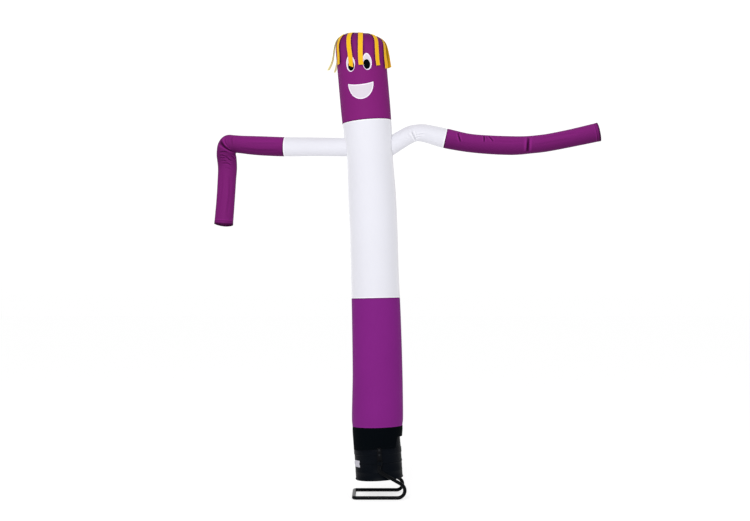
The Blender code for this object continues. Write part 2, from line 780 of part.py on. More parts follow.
def make_knob(side, sign, parent):
    """The knob that clamps the stand's end to its bracket."""
    inner = STAND_DEPTH + TUBE_FLAT + GAP
    shape = bmesh.new()
    place = Matrix.Translation((BRACKET_X, sign * (inner + KNOB_HEIGHT / 2), 0.0))
    bmesh.ops.create_cone(
        shape, cap_ends=True, segments=16, radius1=KNOB_RADIUS, radius2=KNOB_RADIUS * 0.86,
        depth=KNOB_HEIGHT, matrix=place @ Matrix.Rotation(sign * -math.pi / 2, 4, "X"),
    )
    return piece(f"knob_{side}", shape, parent, finish(f"knob_{side}", PLASTIC, 0.4))


# ---------------------------------------------------------------- the whole part
def main():
    clear_scene()
    whole = frame("air_dancer", location=(BLOWER_X, 0.0, 0.0))
    blower = frame("blower", whole, PIVOT, DRUM_LEAN)
    neck = BODY[-1]
    head = frame("head_frame", whole, (neck.offset, 0.0, neck.height), neck.lean)

    make_stand(whole)
    make_drum(blower)
    for side, sign in (("front", -1), ("back", 1)):
        make_bracket(side, sign, blower)
        make_knob(side, sign, blower)

    make_skirt(whole)
    make_panel("legs", SKIRT_SEAM, WAIST_SEAM, PURPLE, whole)
    torso = make_panel("torso", WAIST_SEAM, NECK_SEAM, WHITE, whole)
    make_arms(torso, whole)
    make_head(head)
    make_face(head)
    make_hair(head)


main()
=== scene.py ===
"""An inflatable air dancer on its blower, dressed in cloth, thread, moulded plastic and steel.

The figure is a leaning tube of four panels with two arms, patches for a face and ribbons for
hair.  It stands on a drum blower in a bent tube stand.  Metres, +Z up, the face looks along -Y.
Azimuths run round an upright axis from the front (-Y) by the right (+X).
"""

import logging
import math
from dataclasses import dataclass, field
from enum import Enum
from typing import Callable

import bpy
import numpy as np
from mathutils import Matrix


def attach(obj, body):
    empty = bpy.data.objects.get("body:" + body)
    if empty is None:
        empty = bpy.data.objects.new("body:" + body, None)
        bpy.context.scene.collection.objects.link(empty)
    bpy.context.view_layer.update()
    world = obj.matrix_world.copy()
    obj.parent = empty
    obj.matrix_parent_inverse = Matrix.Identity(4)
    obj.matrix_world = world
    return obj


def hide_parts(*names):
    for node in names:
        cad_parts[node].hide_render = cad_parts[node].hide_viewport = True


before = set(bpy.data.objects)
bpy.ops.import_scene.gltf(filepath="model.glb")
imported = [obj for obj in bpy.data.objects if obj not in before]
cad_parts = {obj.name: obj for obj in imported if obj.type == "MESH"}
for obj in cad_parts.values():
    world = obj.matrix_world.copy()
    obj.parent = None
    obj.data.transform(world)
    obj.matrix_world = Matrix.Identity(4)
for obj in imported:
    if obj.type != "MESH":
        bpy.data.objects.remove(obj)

Array = np.ndarray
Surface = Callable[[Array, Array], Array]
Triple = tuple[float, float, float]
Socket = bpy.types.NodeSocket
Material = bpy.types.Material

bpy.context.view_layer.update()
LOG = logging.getLogger("air_dancer")

# Where the blower stands, and the point and angle by which its drum leans
BLOWER_X = -0.2586
PIVOT = np.array([BLOWER_X - 0.009, 0.0, 0.330])
DRUM_LEAN = math.radians(3.5)
# The cloth's thickness, the heights of the body's seams, and the gap between sewn pieces
CLOTH = 0.002
SKIRT_SEAM, WAIST_SEAM, NECK_SEAM = 0.653, 1.847, 3.502
SEAM_GAP = 0.0003
# How far from a seam the cloth is doubled and stitched
ALLOWANCE = 0.009
# The usual radii of the body and the arms, which turn angles into metres
BODY_RADIUS, ARM_RADIUS = 0.23, 0.085
# How much painted shade lies on the crown's cloth, from 0 to 1
CROWN_SHADE = 0.42
# Samples in each span of a smooth curve
SPAN_STEPS = 24


class Hold(Enum):
    STRETCHED = "stretched"
    HUNG = "hung"
    LAID = "laid"


class Slot(Enum):
    """The material slots of the part."""

    PURPLE = "purple_cloth"
    WHITE = "white_cloth"
    YELLOW = "yellow_cloth"
    BLACK = "black_cloth"
    PLASTIC = "black_plastic"
    STEEL = "black_steel"


# ------------------ shapes as arrays
def through(rows: Array, place: Array) -> Array:
    """Runs a smooth curve through the rows of a table.

    Each span is a cubic Hermite: its value is the blend of its two rows and their slopes, and a
    row's slope is the rise from the row before to the row after over the length between them.

    Args:
        rows: the table, one row a station.
        place: the columns whose distances set the length of each span.

    Returns:
        The sampled rows.
    """
    count = len(rows)
    at = np.linspace(0.0, count - 1.0, (count - 1) * SPAN_STEPS + 1)
    index = np.minimum(at.astype(int), count - 2)
    t = (at - index)[:, None]
    before, start, end, after = (rows[np.clip(index + k, 0, count - 1)] for k in (-1, 0, 1, 2))
    spans = np.concatenate([[0.0], np.linalg.norm(np.diff(place, axis=0), axis=1), [0.0]])
    first, span, last = (spans[index + k][:, None] for k in (0, 1, 2))
    leave = (end - before) / (first + span) * span
    arrive = (after - start) / (span + last) * span
    return (
        (2 * t**3 - 3 * t**2 + 1) * start
        + (t**3 - 2 * t**2 + t) * leave
        + (3 * t**2 - 2 * t**3) * end
        + (t**3 - t**2) * arrive
    )


def crowded(start: float, end: float, count: int, crowd: float = 0.86) -> Array:
    """Places rows from start to end, closer together near both.

    The place is t - crowd * sin(2 pi t) / (2 pi), scaled to the length.

    Args:
        start: the first place.
        end: the last place.
        count: how many rows.
        crowd: 0 for even rows, towards 1 for rows crowded at the ends.

    Returns:
        The places in order.
    """
    t = np.linspace(0.0, 1.0, count)
    return start + (end - start) * (t - crowd * np.sin(math.tau * t) / math.tau)


def uneven(turn: Array, seed: int, waves: tuple[int, ...]) -> Array:
    """A wave round a tube that closes but never looks regular.

    It is the sum of sines with whole numbers of turns and seeded phases and weights, from -1 to 1.

    Args:
        turn: angles in radians.
        seed: picks the phases.
        waves: the numbers of turns.

    Returns:
        The wave at each angle.
    """
    dice = np.random.default_rng(seed)
    phases = dice.uniform(0.0, math.tau, len(waves))
    weights = dice.uniform(0.4, 1.0, len(waves))
    total = np.sin(turn[..., None] * np.array(waves) + phases) * weights
    return total.sum(axis=-1) / weights.sum()


def bump(distance: Array, width: float) -> Array:
    """A soft hill: exp(-(distance / width) squared)."""
    return np.exp(-((distance / width) ** 2))


def clamp(values: Array) -> Array:
    """Values held between 0 and 1."""
    return np.clip(values, 0.0, 1.0)


def polar(radius: Array | float, turn: Array, height: Array | float) -> Array:
    """Points at a radius, an azimuth and a height round an upright axis."""
    parts = np.broadcast_arrays(radius * np.sin(turn), -radius * np.cos(turn), height)
    return np.stack(parts, axis=-1)


def eased(share: Array) -> Array:
    """A share with soft ends: share^2 (3 - 2 share)."""
    return share**2 * (3.0 - 2.0 * share)


def turns(columns: int, closing: int = 0) -> Array:
    """Even angles round a tube, one a column, and with closing 1 the full turn as well."""
    return np.arange(columns + closing) * math.tau / columns


def from_back(turn: Array) -> Array:
    """Metres round the body from the seam down its back."""
    return np.abs(np.mod(turn, math.tau) - math.pi) * BODY_RADIUS


def hoop(place: float) -> Callable[[Array], tuple[Array, Array]]:
    """A path once round a tube, at one place along it."""
    return lambda share: (share * math.tau, np.full_like(share, place))


def tilt(points: Array, lean: float, about: Array) -> Array:
    """Tips points towards -X about a level axis along Y.

    With angle a, x goes to x cos a - z sin a and z to x sin a + z cos a, about the given point.

    Args:
        points: places relative to the axis.
        lean: the angle in radians.
        about: where the axis stands.

    Returns:
        The tipped points in the part's frame.
    """
    x, y, z = points[..., 0], points[..., 1], points[..., 2]
    c, s = math.cos(lean), math.sin(lean)
    return np.stack([x * c - z * s, y, x * s + z * c], axis=-1) + about


def on_drum(points: Array) -> Array:
    """Points about the drum's pivot, leaning with it, in the part's frame."""
    return tilt(points, DRUM_LEAN, PIVOT)


def unit(vectors: Array) -> Array:
    """Vectors cut to length one."""
    return vectors / np.maximum(np.linalg.norm(vectors, axis=-1, keepdims=True), 1e-12)


def rounded(corners: Array, radii: Array, facets: int) -> Array:
    """Rounds the corners of an open path in space with arcs.

    An arc of radius r at a corner with half angle h starts and ends r / tan h from it, and its
    middle lies r / sin h along the corner's bisector.

    Args:
        corners: the path's corners.
        radii: a radius for each inner corner.
        facets: steps in each arc.

    Returns:
        The path's points.
    """
    path = [corners[:1]]
    for before, here, after, radius in zip(corners, corners[1:], corners[2:], radii):
        back, ahead = unit(before - here), unit(after - here)
        half = math.acos(float(np.clip(back @ ahead, -1.0, 1.0))) / 2
        middle = here + unit(back + ahead) * radius / math.sin(half)
        start = here + back * radius / math.tan(half) - middle
        end = here + ahead * radius / math.tan(half) - middle
        sweep = math.pi - 2 * half
        turn = np.linspace(0.0, sweep, facets + 1)[:, None]
        path.append(middle + (np.sin(sweep - turn) * start + np.sin(turn) * end) / math.sin(sweep))
    path.append(corners[-1:])
    return np.concatenate(path)


# ------------------ meshes
@dataclass
class Grid:
    """A mesh made of rows of points, joined row to row.

    A closed grid joins its last column to its first.  The pole closes the last row to a point,
    and ends closes the first and last rows with flat faces.  The surface coordinates have one
    column more than the points.  Faces stay where any corner is kept, and the last field is the
    shade painted on the cloth at each point where above 0, and the highlight painted there where
    below 0.
    """

    points: Array
    closed: bool = True
    pole: Array | None = None
    uv: Array | None = None
    keep: Array | None = None
    ends: bool = False
    painted_shading: Array | None = None

    def cells(self) -> tuple[Array, Array]:
        """The row and the column at which each four-sided face starts.

        Returns:
            The rows and the columns.
        """
        rows, columns = self.points.shape[:2]
        return np.meshgrid(
            np.arange(rows - 1), np.arange(columns if self.closed else columns - 1), indexing="ij"
        )

    def faces(self) -> Array:
        """Corner numbers of the four-sided faces, row by row.

        Returns:
            Four numbers a face.
        """
        columns = self.points.shape[1]
        row, column = self.cells()
        after = (column + 1) % columns
        quads = np.stack([
            row * columns + column, row * columns + after,
            (row + 1) * columns + after, (row + 1) * columns + column,
        ], axis=-1).reshape(-1, 4)
        return quads if self.keep is None else quads[self.keep[quads].any(axis=1)]

    def loop_uv(self) -> Array:
        """The surface coordinates of each face's corners; the last column closes at full girth.

        Returns:
            Four pairs a face.
        """
        row, column = self.cells()
        corners = [(row, column), (row, column + 1), (row + 1, column + 1), (row + 1, column)]
        return np.stack([self.uv[i, j] for i, j in corners], axis=-2).reshape(-1, 4, 2)

    def mesh(self, name: str) -> bpy.types.Mesh:
        """Builds the mesh, smooth, with its faces outwards as the grid's order gives them.

        Args:
            name: the mesh's name.

        Returns:
            The mesh.
        """
        rows, columns = self.points.shape[:2]
        vertices = self.points.reshape(-1, 3)
        quads = self.faces()
        faces = quads.tolist()
        if self.pole is not None:
            vertices = np.concatenate([vertices, self.pole[None]])
            edge = (rows - 1) * columns + np.arange(columns)
            tip = np.full(columns, rows * columns)
            faces += np.stack([edge, np.roll(edge, -1), tip], axis=1).tolist()
        if self.ends:
            faces.append(list(range(columns))[::-1])
            faces.append(list(range((rows - 1) * columns, rows * columns)))
        mesh = bpy.data.meshes.new(name)
        mesh.from_pydata(vertices.tolist(), [], faces)
        if self.uv is not None:
            spread = np.zeros((len(mesh.loops), 2))
            flat = self.loop_uv()
            if self.keep is not None:
                full = Grid(self.points, self.closed).faces()
                flat = flat[self.keep[full].any(axis=1)]
            spread[: len(quads) * 4] = flat.reshape(-1, 2)
            if self.pole is not None:
                start = len(quads) * 4
                fan = np.stack([self.uv[-1, :columns], self.uv[-1, 1:], self.uv[-1, :columns]], 1)
                spread[start:start + fan.shape[0] * 3] = fan.reshape(-1, 2)
            layer = mesh.uv_layers.new(name="UVMap")
            layer.data.foreach_set("uv", spread.ravel())
        # Painted shade, above 0, and painted highlight, below 0, one value a point, for the cloth
        # finish to read
        if self.painted_shading is not None:
            shade = mesh.attributes.new("painted_shading", "FLOAT", "POINT")
            shade.data.foreach_set("value", self.painted_shading.ravel())
        mesh.shade_smooth()
        mesh.update()
        return mesh


def show(mesh: bpy.types.Mesh, material: Material) -> bpy.types.Object:
    """Puts a mesh in the scene as a piece of its name at the origin.

    Args:
        mesh: its mesh, in the part's frame.
        material: its finish.

    Returns:
        The object.
    """
    mesh.materials.append(material)
    piece = bpy.data.objects.new(mesh.name, mesh)
    bpy.context.scene.collection.objects.link(piece)
    return piece


def carry(piece: bpy.types.Object, slot: Slot, *nodes: str) -> None:
    """Makes a piece ride with the part and stand for its nodes.

    Args:
        piece: the finished piece.
        slot: its material slot; not used.
        nodes: the nodes that it stands for.
    """
    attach(piece, "root")
    if nodes:
        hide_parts(*nodes)
    LOG.info("%s: %d faces", piece.name, len(piece.data.polygons))


def wall(piece: bpy.types.Object, thickness: float, offset: float) -> None:
    """Gives a sheet its thickness, inwards for an offset of -1, outwards for 1, or both for 0.

    Args:
        piece: the sheet.
        thickness: its thickness.
        offset: the side.
    """
    step = piece.modifiers.new("cloth", "SOLIDIFY")
    step.thickness = thickness
    step.offset = offset


def dress(name: str, grid: Grid, material: Material, slot: Slot, node: str,
          thickness: float = CLOTH, offset: float = -1.0) -> bpy.types.Object:
    """Makes a piece of cloth that stands for a node.

    Args:
        name: the piece's name.
        grid: its surface.
        material: its finish.
        slot: its material slot.
        node: the node.
        thickness: the cloth's.
        offset: -1 to thicken it inwards, 1 outwards, 0 both ways.

    Returns:
        The piece.
    """
    piece = show(grid.mesh(name), material)
    wall(piece, thickness, offset)
    carry(piece, slot, node)
    return piece


def soften(piece: bpy.types.Object, width: float) -> None:
    """Rounds a piece's sharp edges.

    Args:
        piece: the piece.
        width: the rounding's width.
    """
    step = piece.modifiers.new("edges", "BEVEL")
    step.width = width
    step.segments = 2
    step.limit_method = "ANGLE"
    step.angle_limit = math.radians(35.0)


# ------------------ finishes
def math_node(tree: bpy.types.NodeTree, operation: str, *terms: Socket | float) -> Socket:
    """Adds a Math node over sockets or numbers.

    Args:
        tree: where it is added.
        operation: what it does.
        terms: its inputs in order.

    Returns:
        Its output.
    """
    node = tree.nodes.new("ShaderNodeMath")
    node.operation = operation
    for socket, term in zip(node.inputs, terms):
        if isinstance(term, (int, float)):
            socket.default_value = term
        else:
            tree.links.new(term, socket)
    return node.outputs[0]


class Shader:
    """The node tree of one finish, joined step by step."""

    BAND_SCALE = 0.31416  # a wave texture of this scale has one band a metre

    def __init__(self, name: str) -> None:
        """Starts a material with its Principled shader.

        Args:
            name: the material's name.
        """
        self.material = bpy.data.materials.new(name)
        self.material.use_nodes = True
        self.tree = self.material.node_tree
        self.surface = self.tree.nodes["Principled BSDF"]

    def add(self, kind: str, **values: object) -> bpy.types.Node:
        """Adds a node and sets its properties or sockets by name.

        Args:
            kind: the node's type, without its common start.
            values: properties, or sockets with spaces written as underscores.

        Returns:
            The node.
        """
        node = self.tree.nodes.new("ShaderNode" + kind)
        for key, value in values.items():
            if hasattr(node, key):
                setattr(node, key, value)
            else:
                node.inputs[key.replace("_", " ")].default_value = value
        return node

    def join(self, out: Socket, into: Socket) -> None:
        """Joins two sockets."""
        self.tree.links.new(out, into)

    def math(self, operation: str, *terms: Socket | float) -> Socket:
        """A Math node of this tree over sockets or numbers; returns its output."""
        return math_node(self.tree, operation, *terms)

    def blend(self, share: Socket, low: Triple | Socket, high: Triple | Socket) -> Socket:
        """Mixes two colours.

        Args:
            share: how much of the high one.
            low: the colour at share 0.
            high: the colour at share 1.

        Returns:
            The mixed colour.
        """
        node = self.add("Mix", data_type="RGBA")
        self.join(share, node.inputs[0])
        for socket, colour in zip((node.inputs[6], node.inputs[7]), (low, high)):
            if isinstance(colour, tuple):
                socket.default_value = (*colour, 1.0)
            else:
                self.join(colour, socket)
        return node.outputs[2]

    def bands(self, vector: Socket, axis: str, pitch: float) -> Socket:
        """Even bands across one axis of the surface.

        Args:
            vector: the coordinates.
            axis: the axis's letter.
            pitch: metres from band to band.

        Returns:
            The bands' height, from 0 to 1.
        """
        scale = self.BAND_SCALE / pitch
        node = self.add("TexWave", wave_type="BANDS", bands_direction=axis, Scale=scale)
        self.join(vector, node.inputs["Vector"])
        return node.outputs["Fac"]

    def clouds(self, vector: Socket, scale: float, detail: float) -> Socket:
        """Uneven clouds.

        Args:
            vector: the coordinates.
            scale: larger for finer clouds.
            detail: how many finer layers they hold.

        Returns:
            The clouds' share, about 0.5.
        """
        node = self.add("TexNoise", Scale=scale, Detail=detail, Roughness=0.55)
        self.join(vector, node.inputs["Vector"])
        return node.outputs[0]

    def relief(self, height: Socket, depth: float) -> None:
        """Raises the surface, on top of the relief that it has.

        Args:
            height: the relief, from 0 to 1.
            depth: metres at 1.
        """
        node = self.add("Bump", Strength=1.0, Distance=depth)
        self.join(height, node.inputs["Height"])
        normal = self.surface.inputs["Normal"]
        if normal.links:
            self.join(normal.links[0].from_socket, node.inputs["Normal"])
        self.join(node.outputs[0], normal)

    def coat(self, colour: Socket | None, **values: object) -> Material:
        """Sets the shader's sockets and ends the finish.

        Args:
            colour: the colour's socket, unless it is among the values.
            values: even values, by socket with spaces written as underscores.

        Returns:
            The material.
        """
        if colour is not None:
            self.join(colour, self.surface.inputs["Base Color"])
        for key, value in values.items():
            self.surface.inputs[key.replace("_", " ")].default_value = value
        return self.material


@dataclass(frozen=True)
class ClothFinish:
    """Coated nylon: fine threads with a thicker one every few millimetres, and a soft sheen.

    Where the mesh's values paint shade, in folds, seams, undersides and beside the ribbons, the
    colour turns towards fold_shade times the shade; where they paint a highlight, on lips and
    doubled edges, towards lit times the colour.
    """

    name: str
    colour: Triple
    shade: Triple
    roughness: float = 0.5
    gloss: float = 0.12
    sheen: float = 0.0
    fold_shade: float = 0.22
    lit: float = 1.5
    lightest: float = 0.86
    thread: float = 0.0007
    rib: float = 0.0062

    def make(self) -> Material:
        """Builds the material; threads follow the piece's own surface map in metres.

        Returns:
            The material.
        """
        shader = Shader(self.name)
        place = shader.add("TexCoord")
        cloth = place.outputs["UV"]
        clouds = shader.clouds(place.outputs["Object"], 2.3, 3.0)
        # Painted shade, above 0, and painted highlight, below 0, read from the mesh
        painted_shading = shader.add("Attribute", attribute_name="painted_shading").outputs["Fac"]
        dark = tuple(v * self.fold_shade for v in self.shade)
        light = tuple(min(v * self.lit, self.lightest) for v in self.colour)
        plain = shader.blend(clouds, self.shade, self.colour)
        darker = shader.blend(shader.math("MAXIMUM", painted_shading, 0.0), plain, dark)
        lighter = shader.math("MAXIMUM", shader.math("MULTIPLY", painted_shading, -1.0), 0.0)
        colour = shader.blend(lighter, darker, light)
        weave, ribs = (
            shader.math("MAXIMUM", *(shader.bands(cloth, axis, pitch) for axis in "XY"))
            for pitch in (self.thread, self.rib)
        )
        shader.relief(weave, 0.00006)
        shader.relief(shader.math("POWER", ribs, 12.0), 0.00012)
        shader.relief(shader.clouds(place.outputs["Object"], 38.0, 4.0), 0.0009)
        return shader.coat(
            colour, Roughness=self.roughness, Specular_IOR_Level=self.gloss,
            Sheen_Weight=self.sheen,
        )


@dataclass(frozen=True)
class RibbonFinish:
    """Woven ribbon: close cross ribs, a colour that turns to its shade at the edges, and a painted
    glow that stands in for the light that comes through the weave.
    """

    name: str
    colour: Triple
    shade: Triple
    rib: float = 0.0011
    glow: float = 0.0

    def make(self) -> Material:
        """Builds the material from the ribbon's own surface map.

        Returns:
            The material.
        """
        shader = Shader(self.name)
        place = shader.add("TexCoord")
        split = shader.add("SeparateXYZ")
        shader.join(place.outputs["UV"], split.inputs[0])
        edge = shader.math("POWER", shader.math("ABSOLUTE", split.outputs[0]), 3.2)
        edge = shader.math("MULTIPLY", edge, 190000.0)
        clouds = shader.clouds(place.outputs["Object"], 9.0, 2.0)
        share = shader.math("ADD", edge, shader.math("MULTIPLY", clouds, 0.35))
        colour = shader.blend(share, self.colour, self.shade)
        shader.relief(shader.bands(place.outputs["UV"], "Y", self.rib), 0.00012)
        # The emission is a painted glow; the ribbon is no lamp
        return shader.coat(
            colour, Emission_Color=(*self.colour, 1.0), Emission_Strength=self.glow,
            Roughness=0.42, Specular_IOR_Level=0.03,
        )


@dataclass(frozen=True)
class ThreadFinish:
    """Twisted sewing thread."""

    name: str
    colour: Triple

    def make(self) -> Material:
        """Builds the material; the twist is a slanted band over the thread.

        Returns:
            The material.
        """
        shader = Shader(self.name)
        place = shader.add("TexCoord")
        twist = shader.add("TexWave", wave_type="BANDS", bands_direction="DIAGONAL", Scale=320.0)
        shader.join(place.outputs["Object"], twist.inputs["Vector"])
        dark = tuple(v * 0.7 for v in self.colour)
        colour = shader.blend(twist.outputs["Fac"], dark, self.colour)
        return shader.coat(colour, Roughness=0.6, Specular_IOR_Level=0.1)


@dataclass(frozen=True)
class MouldedFinish:
    """Moulded plastic with a fine leathery grain and slight scuffs."""

    name: str
    colour: Triple
    scuff: Triple
    roughness: float = 0.42
    gloss: float = 0.10
    grain: float = 900.0

    def make(self) -> Material:
        """Builds the material on Object coordinates.

        Returns:
            The material.
        """
        shader = Shader(self.name)
        place = shader.add("TexCoord").outputs["Object"]
        wear_and_painted_light = shader.math("POWER", shader.clouds(place, 14.0, 6.0), 3.0)
        colour = shader.blend(wear_and_painted_light, self.colour, self.scuff)
        shader.relief(shader.clouds(place, self.grain, 2.0), 0.00012)
        shader.relief(shader.clouds(place, 60.0, 3.0), 0.0003)
        return shader.coat(colour, Roughness=self.roughness, Specular_IOR_Level=self.gloss)


@dataclass(frozen=True)
class CoatedSteelFinish:
    """Powder coat on steel: a slightly dimpled, half glossy skin."""

    name: str
    colour: Triple
    rubbed: Triple
    gloss: float = 0.10

    def make(self) -> Material:
        """Builds the material on Object coordinates.

        Returns:
            The material.
        """
        shader = Shader(self.name)
        place = shader.add("TexCoord").outputs["Object"]
        rub = shader.math("POWER", shader.clouds(place, 26.0, 8.0), 5.0)
        colour = shader.blend(rub, self.colour, self.rubbed)
        shader.relief(shader.clouds(place, 420.0, 2.0), 0.00018)
        return shader.coat(colour, Roughness=0.3, Specular_IOR_Level=self.gloss)


def made(finish: ClothFinish | RibbonFinish | MouldedFinish | CoatedSteelFinish) -> Material:
    """A palette's field, whose material is made with the palette."""
    return field(default_factory=finish.make)


@dataclass
class Palette:
    """Every finish of the object, made once."""

    purple: Material = made(
        ClothFinish("purple_nylon", (0.184, 0.0150, 0.186), (0.158, 0.0128, 0.158), 0.5, 0.02)
    )
    magenta: Material = made(
        ClothFinish("magenta_nylon", (0.188, 0.0140, 0.152), (0.162, 0.0118, 0.128), 0.5, 0.02)
    )
    plum: Material = made(
        ClothFinish("plum_nylon", (0.192, 0.0145, 0.162), (0.168, 0.0125, 0.138), 0.5, 0.02)
    )
    white: Material = made(ClothFinish(
        "white_nylon", (0.640, 0.640, 0.695), (0.612, 0.610, 0.664), 0.6, 0.08, 0.7, 0.84, 1.3
    ))
    # A darker, pinker copy of the white cloth for the face's patches: painted shade
    face: Material = made(ClothFinish(
        "shaded_face_nylon", (0.585, 0.540, 0.602), (0.560, 0.515, 0.574), 0.6, 0.08, 0.10, 0.72, 1.4
    ))
    black: Material = made(ClothFinish(
        "black_nylon", (0.0012, 0.0024, 0.0036), (0.0009, 0.0016, 0.0026), 0.75, 0.015
    ))
    ribbon: Material = made(
        RibbonFinish("yellow_ribbon", (0.62, 0.385, 0.004), (0.76, 0.36, 0.045), glow=0.11)
    )
    # A paler, brighter copy of the yellow ribbon with more glow, a painted highlight for two
    # ribbons
    pale_lit_ribbon: Material = made(
        RibbonFinish("painted_highlight_ribbon", (0.92, 0.88, 0.40), (0.90, 0.84, 0.34), glow=0.22)
    )
    threads: dict[Slot, Material] = field(default_factory=lambda: {
        Slot.PURPLE: ThreadFinish("purple_thread", (0.17, 0.015, 0.17)).make(),
        Slot.WHITE: ThreadFinish("white_thread", (0.74, 0.73, 0.78)).make(),
        Slot.BLACK: ThreadFinish("black_thread", (0.008, 0.008, 0.010)).make(),
        Slot.YELLOW: ThreadFinish("yellow_thread", (0.72, 0.36, 0.010)).make(),
    })
    plastic: Material = made(MouldedFinish(
        "black_moulding", (0.0012, 0.0022, 0.0042), (0.0032, 0.0046, 0.0074), 0.44, 0.036
    ))
    steel: Material = made(CoatedSteelFinish(
        "black_powder_coat", (0.0018, 0.0021, 0.0030), (0.0075, 0.0090, 0.0130), 0.05
    ))
    zinc: Material = made(
        CoatedSteelFinish("dark_zinc", (0.006, 0.007, 0.010), (0.014, 0.016, 0.021), 0.16)
    )
    label: Material = made(
        MouldedFinish("blank_label", (0.46, 0.45, 0.50), (0.38, 0.37, 0.42), 0.5)
    )


# ------------------ folds and seams
@dataclass(frozen=True)
class Crease:
    """A soft trough along a bent line on a tube, with a raised lip each side.

    Its places are (metres along, degrees round), in order.  Its lips rise by a share of its
    depth.  The shade painted in the trough is full for a crease as deep as full_shade and none for
    one no deeper than unshaded.
    """

    places: tuple[tuple[float, float], ...]
    width: float
    depth: float
    lip: float = 0.30
    unshaded: float = 0.0015
    full_shade: float = 0.0090

    def nearness(self, along: Array, turn: Array, radius: float) -> tuple[Array, Array]:
        """Distance to the nearest leg of the line, and the crease's strength there.

        With t the share along the whole line, the strength fades at the ends as
        (4 t (1 - t))^0.4.

        Args:
            along: metres along the tube.
            turn: radians round it.
            radius: the tube's radius, which turns angles into metres.

        Returns:
            Metres, and shares from 0 to 1.
        """
        line = np.array(self.places) * (1.0, math.radians(radius))
        legs = np.linalg.norm(np.diff(line, axis=0), axis=1)
        nearest = np.full(np.broadcast(along, turn).shape, np.inf)
        share = np.zeros_like(nearest)
        for number, (start, end) in enumerate(zip(line, line[1:])):
            x = along - start[0]
            y = (np.mod(turn - start[1] / radius + math.pi, math.tau) - math.pi) * radius
            step = (end - start) / legs[number]
            reach = np.clip(x * step[0] + y * step[1], 0.0, legs[number])
            away = np.hypot(x - reach * step[0], y - reach * step[1])
            share = np.where(away < nearest, (legs[:number].sum() + reach) / legs.sum(), share)
            nearest = np.minimum(away, nearest)
        return nearest, clamp(4.0 * share * (1.0 - share)) ** 0.4

    def relief(self, along: Array, turn: Array, radius: float) -> Array:
        """How far the cloth stands in or out, in metres outwards.

        It sinks by depth * exp(-(d / width)^2), and its lips rise by the lip's share of that at
        2 widths.

        Args:
            along: metres along the tube.
            turn: radians round it.
            radius: the tube's radius.

        Returns:
            Metres.
        """
        nearest, strength = self.nearness(along, turn, radius)
        lips = self.lip * bump(nearest - 2.0 * self.width, self.width)
        return strength * self.depth * (lips - bump(nearest, self.width))

    def painted_crease_shading(self, along: Array, turn: Array, radius: float) -> Array:
        """The shade painted in the trough, and the highlight painted on the lips.

        It is share * (exp(-(d / 0.9 width)^2) less half a hill 2.1 widths away).

        Args:
            along: metres along the tube.
            turn: radians round it.
            radius: the tube's radius.

        Returns:
            From -0.5, light, to 1, dark.
        """
        nearest, strength = self.nearness(along, turn, radius)
        span = self.full_shade - self.unshaded
        share = min(max(self.depth - self.unshaded, 0.0) / span, 1.0)
        lips = 0.5 * bump(nearest - 2.1 * self.width, 0.8 * self.width)
        return strength * share * (bump(nearest, 0.9 * self.width) - lips)


def seam_relief(away: Array, turn: Array, seed: int) -> Array:
    """Cloth beside a sewn seam.

    It dips by 1.1 mm at the seam, rises by 0.5 mm over the turned allowance, dips again under
    the stitches at 9 mm, and short uneven puckers run out from it and die away in 35 mm.

    Args:
        away: metres from the seam.
        turn: radians round the tube.
        seed: picks the puckers.

    Returns:
        The relief in metres, outwards.
    """
    away = np.abs(away)
    pucker = 0.5 + 0.5 * uneven(turn, seed, (29, 37, 46, 58, 67))
    return (
        0.0005 * bump(away - 0.005, 0.004)
        - 0.0011 * bump(away, 0.0022)
        - 0.0005 * bump(away - ALLOWANCE, 0.0022)
        - 0.0022 * pucker * np.exp(-away / 0.016) * (away > 0.0)
    )


